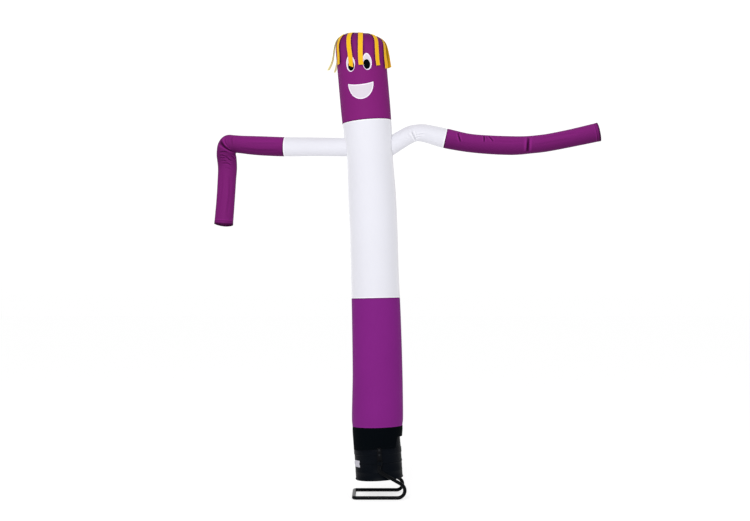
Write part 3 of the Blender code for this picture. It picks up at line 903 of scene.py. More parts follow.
@dataclass
class Thread:
    """Rows of stitches of one colour, each a short raised dash lying on the cloth.

    The nudge is the step over which the cloth's direction is measured, along it or round it at
    its radius, clear how far a stitch's middle stands off the cloth as a share of its radius,
    and the chains hold the middles, directions and outward ways of each row's stitches.
    """

    slot: Slot
    pitch: float = 0.0048
    length: float = 0.0034
    radius: float = 0.00042
    nudge: float = 2e-4
    nudge_radius: float = 0.2
    clear: float = 0.3
    chains: list[tuple[Array, Array, Array]] = field(default_factory=list)

    def row(self, surface: Surface, place: Callable[[Array], tuple[Array, Array]], run: float,
            sign: float = 1.0) -> None:
        """Adds one row of stitches on a surface.

        Args:
            surface: points of the cloth for (turn, along).
            place: the (turn, along) of each share, 0 to 1, of the row.
            run: the row's length in metres.
            sign: 1, or -1 where turn and along give an inward normal.
        """
        share = (np.arange(int(run / self.pitch)) + 0.5) * self.pitch / run
        step = 0.5 * self.pitch / run
        here = surface(*place(share))
        ahead = unit(surface(*place(share + step)) - surface(*place(share - step)))
        turn, along = place(share)
        swing = self.nudge / self.nudge_radius
        a = surface(turn + swing, along) - surface(turn - swing, along)
        b = surface(turn, along + self.nudge) - surface(turn, along - self.nudge)
        out = unit(np.cross(a, b)) * sign
        self.chains.append((here + out * self.radius * self.clear, ahead, out))

    def build(self, material: Material) -> None:
        """Makes one piece of all the rows.

        A stitch is a six-sided spindle: three rings whose radii are 0.45, 1 and 0.45 of the
        thread's, the middle one raised, along the row's direction.

        Args:
            material: the thread's finish.
        """
        middle, ahead, out = (np.concatenate(part) for part in zip(*self.chains))
        side = np.cross(ahead, out)
        turn = turns(6)
        share = np.array([-0.5, 0.0, 0.5])
        thick = np.array([0.45, 1.0, 0.45]) * self.radius
        ring = (
            side[:, None, None] * (thick[:, None] * np.cos(turn))[None, :, :, None]
            + out[:, None, None] * (thick[:, None] * np.sin(turn))[None, :, :, None]
        )
        along = ahead[:, None, None] * (share * self.length)[None, :, None, None]
        points = (middle[:, None, None] + along + ring).reshape(-1, 3)
        row, column = np.meshgrid(np.arange(2), np.arange(6), indexing="ij")
        after = (column + 1) % 6
        quad = np.stack([
            row * 6 + column, (row + 1) * 6 + column, (row + 1) * 6 + after, row * 6 + after,
        ], axis=-1).reshape(-1, 4)
        base = (np.arange(len(middle)) * 18)[:, None, None]
        quads = (base + quad[None]).reshape(-1, 4).tolist()
        start = (base[:, 0] + np.arange(6)[None]).tolist()
        end = (base[:, 0] + np.arange(17, 11, -1)[None]).tolist()
        mesh = bpy.data.meshes.new(f"stitches_{self.slot.value}")
        mesh.from_pydata(points.tolist(), [], quads + start + end)
        mesh.shade_smooth()
        carry(show(mesh, material), self.slot)


# ------------------ the standing tube
@dataclass
class BodyLine:
    """The middle line and girth of the standing tube, from a table of its sections.

    A row is (height, middle's distance from the blower, radius, lean in degrees).
    """

    table: tuple[tuple[float, float, float, float], ...] = (
        (SKIRT_SEAM, -0.0160, 0.2350, 1.6),
        (0.720, -0.0160, 0.2400, 0.8),
        (0.880, -0.0155, 0.2385, 0.2),
        (1.125, -0.0155, 0.2345, 0.4),
        (1.575, -0.0240, 0.2305, 1.0),
        (WAIST_SEAM, -0.0320, 0.2275, 1.2),
        (2.025, -0.0400, 0.2255, 1.5),
        (2.477, -0.0520, 0.2245, 2.1),
        (2.816, -0.0680, 0.2250, 2.8),
        (3.000, -0.0780, 0.2205, 3.2),
        (3.156, -0.0870, 0.2170, 3.8),
        (3.290, -0.0970, 0.2230, 4.4),
        (NECK_SEAM, -0.1165, 0.2325, 5.0),
    )

    def __post_init__(self) -> None:
        """Samples the table along its smooth curve."""
        rows = np.array(self.table)
        self.curve = through(rows, rows[:, :2])

    def at(self, height: Array) -> tuple[Array, Array, Array]:
        """The tube's section.

        Args:
            height: the height of its middle.

        Returns:
            The middle's X, the radius, and the lean in radians.
        """
        offset, radius, lean = (
            np.interp(height, self.curve[:, 0], self.curve[:, k]) for k in (1, 2, 3)
        )
        return BLOWER_X + offset, radius, np.radians(lean)

    def surface(self, azimuth: Array, height: Array, out: Array | float = 0.0) -> Array:
        """Points of the tube.

        A point is the middle plus (radius + out) times the azimuth's direction, tipped by the
        section's lean.

        Args:
            azimuth: radians from the front.
            height: height of the section's middle.
            out: metres off the tube.

        Returns:
            The points.
        """
        x, radius, lean = self.at(height)
        reach = radius + out
        across = reach * np.sin(azimuth)
        return np.stack([
            x + across * np.cos(lean), -reach * np.cos(azimuth), height + across * np.sin(lean),
        ], axis=-1)

    def outside(self, points: Array) -> Array:
        """How far points stand outside the tube."""
        x, radius, lean = self.at(points[..., 2])
        return np.hypot((points[..., 0] - x) * np.cos(lean), points[..., 1]) - radius


@dataclass
class Panel:
    """One panel of the standing tube between two seams.

    Low and high are its seams' heights.  Its edges give the shade painted along the doubled cloth
    at each seam where above 0, and the highlight painted there where below 0, and stitched is a
    row's length.
    """

    name: str
    node: str
    low: float
    high: float
    slot: Slot
    rests_on: str
    seed: int
    columns: int = 216
    rows: int = 84
    line: BodyLine = field(default_factory=BodyLine)
    low_edge: float = 0.0
    high_edge: float = 0.0
    stitched: float = math.tau * 0.232

    def surface(self, turn: Array, height: Array) -> Array:
        """Points of the cloth: the tube with its seams and its slow unevenness.

        The unevenness is 1.1 mm, and the seam down the back dips by 0.8 mm between two low ridges.

        Args:
            turn: azimuth in radians.
            height: height of the section's middle.

        Returns:
            The points.
        """
        slow = uneven(turn, self.seed, (3, 5, 8, 11))
        drift = np.sin(height * 5.3 + self.seed) * 0.5 + 0.5
        back = from_back(turn)
        relief = (
            0.0011 * slow * drift
            + seam_relief(height - self.low, turn, self.seed)
            + seam_relief(self.high - height, turn, self.seed + 1)
            - 0.0008 * bump(back, 0.0025) + 0.0004 * bump(back - 0.006, 0.004)
        )
        return self.line.surface(turn, height, relief)

    def build(self, material: Material, holes: Callable[[Array], Array] | None = None) -> None:
        """Makes the panel's cloth.

        Args:
            material: the cloth's finish.
            holes: tells which points lie in an opening, if the panel has any.
        """
        turn = turns(self.columns, 1)
        height = crowded(self.low + SEAM_GAP / 2, self.high - SEAM_GAP / 2, self.rows)
        a, h = np.meshgrid(turn, height)
        points = self.surface(a[:, :-1], h[:, :-1])
        keep = None if holes is None else ~holes(points.reshape(-1, 3))
        radius = float(self.line.at(np.array(height.mean()))[1])
        low, high = bump(h - self.low, ALLOWANCE), bump(self.high - h, ALLOWANCE)
        # Painted highlight and painted shade along the doubled cloth at both seams
        edges = self.low_edge * low + self.high_edge * high
        grid = Grid(points, uv=np.stack([a * radius, h], axis=-1), keep=keep, painted_shading=edges[:, :-1])
        piece = dress(self.name, grid, material, self.slot, self.node)

    def sew(self, thread: Thread) -> None:
        """Runs a row of stitches beside the panel's two seams."""
        for height in (self.low + ALLOWANCE, self.high - ALLOWANCE):
            thread.row(self.surface, hoop(height), self.stitched)


@dataclass
class Head:
    """The head panel: a tube leaning on the neck seam that rounds in to a level crown.

    The tube widens from the neck over the flare's share of its length.  Square is the power of
    the crown's side view, 2 for an ellipse and more for a flatter top, and level is the angle in
    degrees by which the top is turned back.  Stitched is the neck's row's length; the crown's
    cloth as a share of a tube's as long is not used.
    """

    radius: float = 0.2350
    neck: float = 0.2325
    length: float = 0.669
    crown: float = 0.172
    square: float = 2.85
    level: float = 7.5
    lean: float = math.radians(5.0)
    flare: float = 0.23
    stitched: float = math.tau * 0.233
    crown_share: float = 0.62
    tube_rows: int = 58
    crown_rows: int = 40
    columns: int = 224
    foot: Array = field(default_factory=lambda: np.array([BLOWER_X - 0.1165, 0.0, NECK_SEAM]))

    def __post_init__(self) -> None:
        """Samples the head's side view from the neck over the crown to its middle."""
        turn = np.radians(np.linspace(0.0, 90.0, 400))
        power = 2.0 / self.square
        radius = self.radius * np.maximum(np.cos(turn), 0.0) ** power
        height = self.length + self.crown * np.sin(turn) ** power
        up = np.linspace(0.0, 1.0, 200)[:-1] * self.length
        wider = clamp(up / (self.length * self.flare))
        tube = self.neck + (self.radius - self.neck) * wider
        self.side = np.stack([np.append(tube, radius), np.append(up, height)], axis=1)
        steps = np.linalg.norm(np.diff(self.side, axis=0), axis=1)
        self.run = np.concatenate([[0.0], np.cumsum(steps)])
        along = unit(np.gradient(self.side, axis=0))
        self.away = np.stack([along[:, 1], -along[:, 0]], axis=1)

    def place(self, x: Array, y: Array, z: Array) -> Array:
        """Puts points of the head's own frame in the part's frame; the crown is kept level.

        A point on the crown is lifted by -tan(level * share) * x, where share is how far up the
        crown it is.

        Args:
            x: across.
            y: from front to back.
            z: up the head's axis.

        Returns:
            The points.
        """
        share = clamp((z - self.length) / self.crown)
        lifted = z - np.tan(np.radians(self.level) * share) * x
        return tilt(np.stack([x, y, lifted], axis=-1), self.lean, self.foot)

    def profile(self, run: Array) -> tuple[Array, Array, Array, Array]:
        """The side view at a run.

        Args:
            run: metres up it from the neck seam.

        Returns:
            The radius, the height, and the outward direction's two parts.
        """
        columns = (self.side[:, 0], self.side[:, 1], self.away[:, 0], self.away[:, 1])
        return tuple(np.interp(run, self.run, column) for column in columns)

    def surface(self, turn: Array, run: Array, out: Array | float = 0.0) -> Array:
        """Points of the cloth.

        A point lies at the side view's radius and height for its run, moved outwards by the
        relief of the neck seam, 0.9 mm of slow unevenness and the crown's 1.6 mm radial tucks.

        Args:
            turn: azimuth in radians.
            run: metres up the side view from the neck seam.
            out: more metres off the cloth.

        Returns:
            The points.
        """
        radius, height, away, up = self.profile(run)
        crown = clamp((height - self.length) / self.crown)
        tucks = 0.5 + 0.5 * uneven(turn, 17, (12, 19, 23))
        relief = (
            out + 0.0009 * uneven(turn, 5, (3, 5, 9)) * (1.0 - crown) - 0.0009
            + seam_relief(run, turn, 31)
            - 0.0016 * crown * tucks * np.minimum(radius / 0.1, 1.0)
            - 0.0008 * bump(from_back(turn), 0.0025) * (1.0 - crown)
        )
        reach = radius + away * relief
        return self.place(reach * np.sin(turn), -reach * np.cos(turn), height + up * relief)

    def build(self, material: Material, shade: Surface) -> None:
        """Makes the head's cloth, closed over the crown.

        Args:
            material: the cloth's finish.
            shade: the shade painted beside the ribbons and over the crown, by azimuth and run.
        """
        turn = turns(self.columns, 1)
        whole = float(self.run[-1])
        run = np.concatenate([
            crowded(SEAM_GAP / 2, self.length, self.tube_rows, 0.8)[:-1],
            np.linspace(self.length, whole, self.crown_rows)[:-1],
        ])
        a, r = np.meshgrid(turn, run)
        pole = self.surface(np.zeros(1), np.array([whole]))[0]
        # Painted shade along the neck seam, beside the ribbons and over the crown
        painted_shading = 0.45 * bump(r[:, :-1], ALLOWANCE) + shade(a[:, :-1], r[:, :-1])
        grid = Grid(
            self.surface(a[:, :-1], r[:, :-1]), pole=pole,
            uv=np.stack([a * self.radius, r], axis=-1), painted_shading=np.append(painted_shading, CROWN_SHADE),
        )
        piece = dress("head_cloth", grid, material, Slot.PURPLE, "head")

    def sew(self, thread: Thread) -> None:
        """Runs a row of stitches along the neck seam."""
        thread.row(self.surface, hoop(ALLOWANCE), self.stitched)


@dataclass(frozen=True)
class Patch:
    """A patch of cloth sewn on the face, drawn as columns from a low to a high edge.

    Its place is its azimuth in degrees and its height up the head's side view; the lift is for a
    layer under it.  With a sag it is a mouth, without one an oval, narrower above by its drop.
    """

    name: str
    node: str
    azimuth: float
    height: float
    width: float
    depth: float
    lift: float
    slot: Slot
    sag: float | None = None
    drop: float = 0.0
    cloth: float = 0.0009
    rim: float = 0.004
    columns: int = 60
    rows: int = 32

    def edges(self, turn: Array) -> tuple[Array, Array, Array]:
        """Where the columns stand and where each begins and ends.

        An oval's half height is sin(turn) times half its depth, less towards its sides.  The
        mouth hangs from a sagging straight edge, by its depth times the root of 1 - across^2.

        Args:
            turn: 0 to pi across the patch.

        Returns:
            Metres across, and the low and high heights.
        """
        across = -np.cos(turn)
        if self.sag is not None:
            low = self.height - self.depth * np.sin(turn)
            return across * self.width / 2, low, self.height - self.sag * (1.0 - across**2)
        half = np.sin(turn) * self.depth / 2
        sink = self.drop * half * across**2
        return across * self.width / 2, self.height - half - sink, self.height + half - 3 * sink

    def build(self, head: Head, material: Material) -> None:
        """Makes the patch, with an edge that stands up by 0.35 mm round it and a painted highlight
        along it.

        Args:
            head: what it is sewn on.
            material: its finish.
        """
        turn = np.linspace(0.02, math.pi - 0.02, self.columns)
        across, low, high = self.edges(turn)
        share = (1.0 - np.cos(np.linspace(0.0, math.pi, self.rows)))[:, None] / 2
        x = np.broadcast_to(across, (self.rows, self.columns))
        z = low + (high - low) * share
        rim_x = np.concatenate([across, across])
        rim_z = np.concatenate([low, high])
        gap = np.hypot(x[..., None] - rim_x, z[..., None] - rim_z).min(axis=-1)
        edge = 0.00035 * bump(gap - 0.0022, 0.0016)
        ripple = 0.00012 * np.sin((x + z) * 900.0) * bump(gap, 0.009)
        azimuth = math.radians(self.azimuth) + x / head.radius
        points = head.surface(azimuth, z, self.cloth + self.lift + edge + ripple)
        # A painted highlight along the patch's edge
        rim = -0.95 * bump(np.maximum(gap - self.rim, 0.0), self.rim)
        grid = Grid(points, closed=False, uv=np.stack([x, z], axis=-1), painted_shading=rim)
        piece = dress(self.name, grid, material, self.slot, self.node, self.cloth, 1.0)
        area = float(np.sum((high - low)[1:] * np.diff(across)))
        flat = (float(np.ptp(across)), float(high.max() - low.min()))


@dataclass
class Face:
    """The eyes, their pupils and the mouth.

    Turns are in degrees.  A size is (height up the head's side view, width, depth).
    """

    turn: float = -7.3
    eye_apart: float = 19.4
    pupil_apart: float = 18.3
    mouth: Triple = (0.345, 0.247, 0.154)
    eye: Triple = (0.5335, 0.089, 0.157)
    pupil: Triple = (0.509, 0.062, 0.092)
    pupil_lift: float = 0.0014

    def patches(self) -> list[Patch]:
        """The patches from the lowest layer up.

        Returns:
            The patches.
        """
        found = [Patch("mouth_patch", "mouth", self.turn, *self.mouth, 0.0, Slot.WHITE, 0.018)]
        for side, sign in (("left", -1), ("right", 1)):
            middle = self.turn + sign * self.eye_apart
            found.append(Patch(
                f"eye_{side}_patch", f"eye_{side}", middle, *self.eye, 0.0, Slot.WHITE, drop=0.06
            ))
            middle = self.turn + sign * self.pupil_apart
            found.append(Patch(
                f"pupil_{side}_patch", f"pupil_{side}", middle, *self.pupil, self.pupil_lift,
                Slot.BLACK,
            ))
        return found

    def build(self, head: Head, palette: Palette) -> None:
        """Makes all the patches."""
        for patch in self.patches():
            patch.build(head, palette.black if patch.slot is Slot.BLACK else palette.face)


@dataclass(frozen=True)
class Ribbon:
    """One hair ribbon.

    Top and tip are the azimuths of its ends, root is the distance of its sewn end from the
    head's middle, splay how far its tip stands off, bow the power by which that grows, twist
    the degrees by which its tip is turned, and slant how far its end is cut askew.
    """

    top: float
    tip: float
    root: float
    length: float
    splay: float
    bow: float
    twist: float
    slant: float


@dataclass
class Hair:
    """The ribbons sewn on round the crown.

    Clear is how far they lie off the head, and stitched the share of the width that is sewn at
    each stitch line.  The ribbons listed by number are painted paler and glowing, a painted
    highlight.
    The shade that they throw is painted on the head, and fades over its reach beside a ribbon,
    and over the loose distance where one stands off.
    """

    width: float = 0.045
    thickness: float = 0.0009
    clear: float = 0.0026
    columns: int = 13
    rows: int = 72
    stitched: float = 0.86
    stitch_lines: tuple[float, ...] = (0.006, 0.011)
    shade_reach: float = 0.012
    shade_loose: float = 0.020
    wear_and_painted_light: tuple[int, ...] = (9, 10)
    ribbons: tuple[Ribbon, ...] = (
        Ribbon(-30.0, -25.0, 0.104, 0.405, 0.006, 2.5, 0.0, 0.011),
        Ribbon(7.0, -1.8, 0.104, 0.401, 0.006, 2.5, 0.0, 0.001),
        Ribbon(48.0, 37.5, 0.104, 0.412, 0.006, 2.5, 0.0, -0.003),
        Ribbon(82.0, 66.0, 0.165, 0.367, 0.012, 2.0, 15.0, -0.002),
        Ribbon(99.0, 93.0, 0.104, 0.407, 0.021, 1.2, -48.0, 0.004),
        Ribbon(130.0, 127.0, 0.104, 0.400, 0.014, 2.5, 10.0, -0.005),
        Ribbon(164.0, 167.0, 0.104, 0.390, 0.008, 2.5, 0.0, 0.003),
        Ribbon(-158.0, -155.0, 0.104, 0.400, 0.010, 2.5, 0.0, -0.004),
        Ribbon(-121.0, -123.0, 0.104, 0.380, 0.078, 3.0, -12.0, 0.005),
        Ribbon(-93.0, -93.0, 0.104, 0.380, 0.079, 3.2, 24.0, 0.004),
        Ribbon(-57.0, -62.0, 0.104, 0.358, 0.008, 2.5, 0.0, -0.003),
    )

    @staticmethod
    def start(head: Head, ribbon: Ribbon) -> float:
        """The run up the head's side view at which a ribbon is sewn on."""
        over = head.run > head.length * 0.5
        return float(np.interp(-ribbon.root, -head.side[over, 0], head.run[over]))

    def surface(self, head: Head, ribbon: Ribbon, seed: int) -> Surface:
        """The surface of one ribbon, as a function of metres across and share along.

        The middle line runs down the head's side view from the root, off it by the clearance
        plus splay * share^bow.  Its azimuth is tip + (top - tip) (1 - share)^2.  Across, the
        ribbon is straight, turned by twist * share, cupped by a millimetre and gently waved.

        Args:
            head: what it is sewn on.
            ribbon: its row.
            seed: picks its waves.

        Returns:
            The function.
        """
        whole = float(head.run[-1])
        start = self.start(head, ribbon)
        phase = np.random.default_rng(seed).uniform(0.0, math.tau, 3)

        def points(across: Array, share: Array) -> Array:
            """Points of the ribbon.

            Args:
                across: metres from its middle line.
                share: how far down it, 0 to 1.

            Returns:
                The points.
            """
            run = np.clip(start - share * ribbon.length, 0.0, whole)
            radius, height, away, up = head.profile(run)
            free = clamp(share)
            off = np.minimum(0.0006 + share * ribbon.length * 0.03, self.clear)
            off = off + ribbon.splay * free**ribbon.bow
            off = off + 0.0018 * free * (1.0 + np.sin(share * 15.0 + phase[0]))
            cup = (across / (self.width / 2)) ** 2
            off = off + 0.0010 * cup * np.sin(share * 9.0 + phase[1]) * free
            way = math.radians(ribbon.top - ribbon.tip)
            turn = math.radians(ribbon.tip) + way * (1.0 - free) ** 2
            drift = 0.0022 * np.sin(share * 7.0 + phase[2]) * free
            twist = math.radians(ribbon.twist) * free
            reach = radius + away * off
            spread = across + drift
            x = reach * np.sin(turn) + spread * np.cos(turn - twist)
            y = -reach * np.cos(turn) + spread * np.sin(turn - twist)
            return head.place(x, y, height + up * off)

        return points

    def shade(self, head: Head) -> Surface:
        """The shade painted on the head's cloth beside the ribbons and over the crown.

        Beside a ribbon it is 0.9 * exp(-gap / 12 mm - the way that the ribbon stands off / 20 mm),
        and over the crown 0.42 times the share up it.

        Args:
            head: what they are sewn on.

        Returns:
            The function of azimuth and run.
        """
        def dark(turn: Array, run: Array) -> Array:
            """The painted shade on the head.

            Args:
                turn: azimuth in radians.
                run: metres up the side view.

            Returns:
                Shares from 0 to 1.
            """
            radius, height, _, _ = head.profile(run)
            total = CROWN_SHADE * clamp((height - head.length) / head.crown)
            for ribbon in self.ribbons:
                share = (self.start(head, ribbon) - run) / ribbon.length
                left = (1.0 - clamp(share)) ** 2
                way = np.radians(ribbon.tip + (ribbon.top - ribbon.tip) * left)
                round_it = np.mod(turn - way + math.pi, math.tau) - math.pi
                gap = np.abs(round_it) * radius - self.width / 2
                ends = clamp(share / 0.04) * clamp((1.02 - share) / 0.06)
                loose = ribbon.splay * clamp(share) ** ribbon.bow
                fade = np.maximum(gap, 0.0) / self.shade_reach + loose / self.shade_loose
                total = np.maximum(total, 0.9 * np.exp(-fade) * ends)
            return total

        return dark

    def build(self, head: Head, palette: Palette, thread: Thread) -> None:
        """Makes every ribbon and sews its root.

        Args:
            head: what they are sewn on.
            palette: the finishes.
            thread: takes the stitches across the roots.
        """
        for number, ribbon in enumerate(self.ribbons, start=1):
            surface = self.surface(head, ribbon, 40 + number)
            across = np.linspace(-0.5, 0.5, self.columns) * self.width
            share = np.linspace(0.0, 1.0, self.rows)
            c, s = np.meshgrid(across, share)
            cut = s + ribbon.slant / ribbon.length * (c / (self.width / 2)) * s**8
            points = surface(c, cut)
            uv = np.stack([c, s * ribbon.length], axis=-1)
            piece = dress(
                f"hair_ribbon_{number:02d}", Grid(points[:, ::-1], closed=False, uv=uv),
                # The listed ribbons take the paler, glowing copy of the ribbon: painted highlight
                palette.pale_lit_ribbon if number in self.wear_and_painted_light else palette.ribbon,
                Slot.YELLOW, f"ribbon_{number:02d}", self.thickness, 0.0,
            )
            width = self.width * self.stitched
            for line in self.stitch_lines:
                thread.row(
                    surface,
                    lambda t, at=line / ribbon.length: ((t - 0.5) * width, np.full_like(t, at)),
                    width, -1.0,
                )


# ------------------ arms
@dataclass
class Arm:
    """One arm: a tube along a table of stations, white as far as its seam and purple beyond.

    A row is (x from the blower, y, z, radius, share by which a bend flattens it).  Turns run
    from the front, by the outer side of the left elbow or by the right arm's underside.  Busy
    lengths, as (middle, span), get more rows and a painted shade on the cloth.  The open end
    hangs askew by the droop, and underside is how much painted shade the purple gets facing down.
    """

    side: str
    table: tuple[tuple[float, float, float, float, float], ...]
    seam_row: int
    body: BodyLine
    creases: tuple[Crease, ...] = ()
    busy: tuple[tuple[float, float], ...] = ()
    droop: float = 0.0
    # How deep the painted shade over the busy lengths is
    crumple_shade: float = 0.0
    hem: float = 0.034
    opening: float = 0.076
    # How much painted shade the purple gets where it faces down
    underside: float = 0.62
    droop_length: float = 0.25
    root_rows: int = 108
    sleeve_rows: int = 330
    columns: int = 132

    def __post_init__(self) -> None:
        """Samples the stations, and works out the tube's directions and its tightest bends.

        The front direction is -Y less its part along the path, and the side is their cross
        product.  The way to a bend's middle is the path's second derivative by length.
        """
        rows = np.array(self.table)
        curve = through(rows, rows[:, :3])
        steps = np.linalg.norm(np.diff(curve[:, :3], axis=0), axis=1)
        self.run = np.concatenate([[0.0], np.cumsum(steps)])
        self.seam = float(self.run[self.seam_row * SPAN_STEPS])
        self.length = float(self.run[-1])
        even = np.linspace(0.0, self.length, 500)
        self.even = even
        self.path = np.stack([np.interp(even, self.run, curve[:, k]) for k in range(5)], axis=1)
        self.path[:, 0] += BLOWER_X
        along = unit(np.gradient(self.path[:, :3], even, axis=0))
        kernel = np.hanning(11) / np.hanning(11).sum()
        padded = np.pad(along, ((5, 5), (0, 0)), mode="edge")
        along = np.stack([np.convolve(padded[:, k], kernel, "valid") for k in range(3)], axis=1)
        along = unit(along)
        front = np.array([0.0, -1.0, 0.0])
        self.front = unit(front - along * (along @ front)[:, None])
        self.out = np.cross(along, self.front)
        self.along = along
        self.bend = np.gradient(along, even, axis=0)

    def look(self, values: Array, run: Array) -> Array:
        """Values of the sampled path at a run."""
        return np.stack([np.interp(run, self.even, column) for column in values.T], axis=-1)

    def tube(self, turn: Array, run: Array, out: Array | float = 0.0) -> Array:
        """Points of the tube.

        A point is the path's plus front * cos(turn) * (1 - pinch) (radius + out) plus side *
        sin(turn) * (radius + out).  On the inside of a bend its distance towards the bend's
        middle is held under 0.9 of the bend's radius, so the cloth bunches and never crosses.
        That sets in at a bend radius of 0.25 m and is full at 0.125 m.

        Args:
            turn: radians round the tube.
            run: metres along it.
            out: metres off it.

        Returns:
            The points.
        """
        station = self.look(self.path, run)
        front, side = self.look(self.front, run), self.look(self.out, run)
        bend = self.look(self.bend, run)
        reach = (station[..., 3] + out)[..., None]
        flat = 1.0 - station[..., 4:5]
        across = side * np.sin(turn)[..., None] * reach
        offset = front * np.cos(turn)[..., None] * reach * flat + across
        tight = np.linalg.norm(bend, axis=-1, keepdims=True)
        way = bend / np.maximum(tight, 1e-6)
        inward = (offset * way).sum(axis=-1, keepdims=True)
        most = 0.9 / np.maximum(tight, 1e-6)
        held = np.where(inward > 0.0, most * np.tanh(inward / most), inward)
        share = clamp((tight - 4.0) / 4.0)
        return station[..., :3] + offset + way * (held - inward) * share

    def relief(self, turn: Array, run: Array) -> Array:
        """Seam, hem and creases of the arm.

        The hem stands up by 0.6 mm, and dips and puckers by 1.3 and 1.6 mm along its stitches.

        Args:
            turn: radians round the tube.
            run: metres along it.

        Returns:
            Metres outwards.
        """
        end = self.length - run
        relief = seam_relief(run - self.seam, turn, 61) + 0.0007 * uneven(turn, 71, (3, 5, 7))
        relief = relief + 0.0006 * clamp((self.hem - end) / 0.001)
        relief = relief - 0.0013 * bump(end - self.hem, 0.0022)
        pucker = 0.5 + 0.5 * uneven(turn, 83, (11, 17, 23))
        relief = relief - 0.0016 * pucker * bump(end - self.hem, 0.010)
        for crease in self.creases:
            relief = relief + crease.relief(run, turn, ARM_RADIUS)
        return relief

    def folds(self, turn: Array, run: Array) -> Array:
        """The shade painted in its creases, at its hem and open end and over the busy lengths, and
        the highlight painted on their lips.

        Along the seam the doubled edge of the white cloth gets a painted highlight and the purple
        one a painted shade.
        The purple cloth gets a painted shade where it faces down.

        Args:
            turn: radians round the tube.
            run: metres along it.

        Returns:
            From -1, light, to 1, dark.
        """
        end, seam = self.length - run, run - self.seam
        front, side = self.look(self.front, run)[..., 2], self.look(self.out, run)[..., 2]
        # Painted shade on the purple where it faces down
        under = clamp((0.5 - np.cos(turn) * front - np.sin(turn) * side) / 1.3)
        # Painted shade and highlight along the hem's stitches, and painted shade at the open end
        dark = 0.5 * bump(end - self.hem, 0.0035) - 0.35 * bump(end - self.hem - 0.008, 0.004)
        dark = dark + 0.9 * bump(end, 0.015)
        # Painted shade over the busy lengths
        for middle, span in self.busy:
            dark = dark + self.crumple_shade * bump(run - middle, span)
        # Painted highlight on the white side of the seam, painted shade on the purple side
        dark = dark + np.where(seam < 0.0, -0.9, 0.45) * bump(seam, ALLOWANCE)
        # Painted shade in the creases and painted highlight on their lips
        line = np.zeros_like(dark)
        for crease in self.creases:
            painted_crease_shading = crease.painted_crease_shading(run, turn, ARM_RADIUS)
            line = np.where(np.abs(painted_crease_shading) > np.abs(line), painted_crease_shading, line)
        under = np.where(seam < 0.0, 0.0, self.underside * under)
        return np.clip(dark + line + under, -1.0, 1.0)

    def surface(self, turn: Array, run: Array) -> Array:
        """Points of the arm's cloth; its open end reaches on in front and behind by the droop.

        Args:
            turn: radians round the tube.
            run: metres along it.

        Returns:
            The points.
        """
        near = clamp(1.0 - (self.length - run) / self.droop_length) ** 2
        wave = (np.cos(2 * turn) * self.droop / 2 * near)[..., None]
        return self.tube(turn, run, self.relief(turn, run)) + self.look(self.along, run) * wave

    def root_start(self, turn: Array) -> Array:
        """Where each line along the arm comes out of the torso.

        The torso's distance is worked out along every line, and the start is where it first
        passes 0.8 mm.

        Args:
            turn: the lines' angles.

        Returns:
            Metres along the arm for each line.
        """
        run = np.linspace(0.0, self.seam, 400)
        t, r = np.meshgrid(turn, run)
        clear = self.body.outside(self.tube(t, r)) - 0.0008
        first = np.argmax(clear > 0.0, axis=0)
        pick = np.arange(len(turn))
        low, high = clear[first - 1, pick], clear[first, pick]
        return run[first - 1] + (run[1] - run[0]) * -low / (high - low)

    def inside(self, points: Array) -> Array:
        """Which points lie in the armhole, closer to the arm's path than the opening's radius.

        Args:
            points: points of the torso's cloth.

        Returns:
            A truth value for each.
        """
        path = self.path[self.even < self.seam, :3][::6]
        gap = np.linalg.norm(points[:, None] - path[None], axis=-1).min(axis=1)
        return gap < self.opening

    def cloth(self, name: str, node: str, slot: Slot, material: Material,
              start: Array, end: float, rows: int, rests_on: str) -> None:
        """Makes one length of the arm.

        Its rows are spaced by the running sum of a weight: 1, rising to 5 at both ends and by
        2.2 in the busy lengths.

        Args:
            name: the piece's name.
            node: the node that it stands for.
            slot: its slot.
            material: its finish.
            start: metres along at its start, one a column.
            end: metres along at its end.
            rows: how many rows.
            rests_on: what holds it; not used.
        """
        turn = turns(self.columns, 1)
        even = np.linspace(0.0, 1.0, 2000)
        first = float(start.mean())
        weight = 1.0 + 4.0 * (bump(even, 0.03) + bump(even - 1.0, 0.03))
        for middle, span in self.busy:
            weight += 2.2 * bump(first + (end - first) * even - middle, span)
        share = np.interp(np.linspace(0.0, 1.0, rows), np.cumsum(weight) / weight.sum(), even)
        share = (share - share[0]) / (share[-1] - share[0])
        t, s = np.meshgrid(turn, share)
        begin = np.append(start, start[:1])[None]
        run = begin + (end - begin) * s
        points = self.surface(t[:, :-1], run[:, :-1])
        grid = Grid(
            points[:, ::-1], uv=np.stack([t * ARM_RADIUS, run], axis=-1),
            painted_shading=self.folds(t[:, :-1], run[:, :-1])[:, ::-1],
        )
        piece = dress(name, grid, material, slot, node)

    def build(self, palette: Palette) -> None:
        """Makes the white root and the purple sleeve.

        Args:
            palette: the finishes.
        """
        start = self.root_start(turns(self.columns))
        self.cloth(
            f"arm_root_{self.side}_cloth", f"arm_root_{self.side}", Slot.WHITE, palette.white,
            start, self.seam - SEAM_GAP / 2, self.root_rows, "torso_cloth",
        )
        self.cloth(
            f"sleeve_{self.side}_cloth", f"sleeve_{self.side}", Slot.PURPLE, palette.plum,
            np.full(self.columns, self.seam + SEAM_GAP / 2), self.length, self.sleeve_rows,
            f"arm_root_{self.side}_cloth",
        )

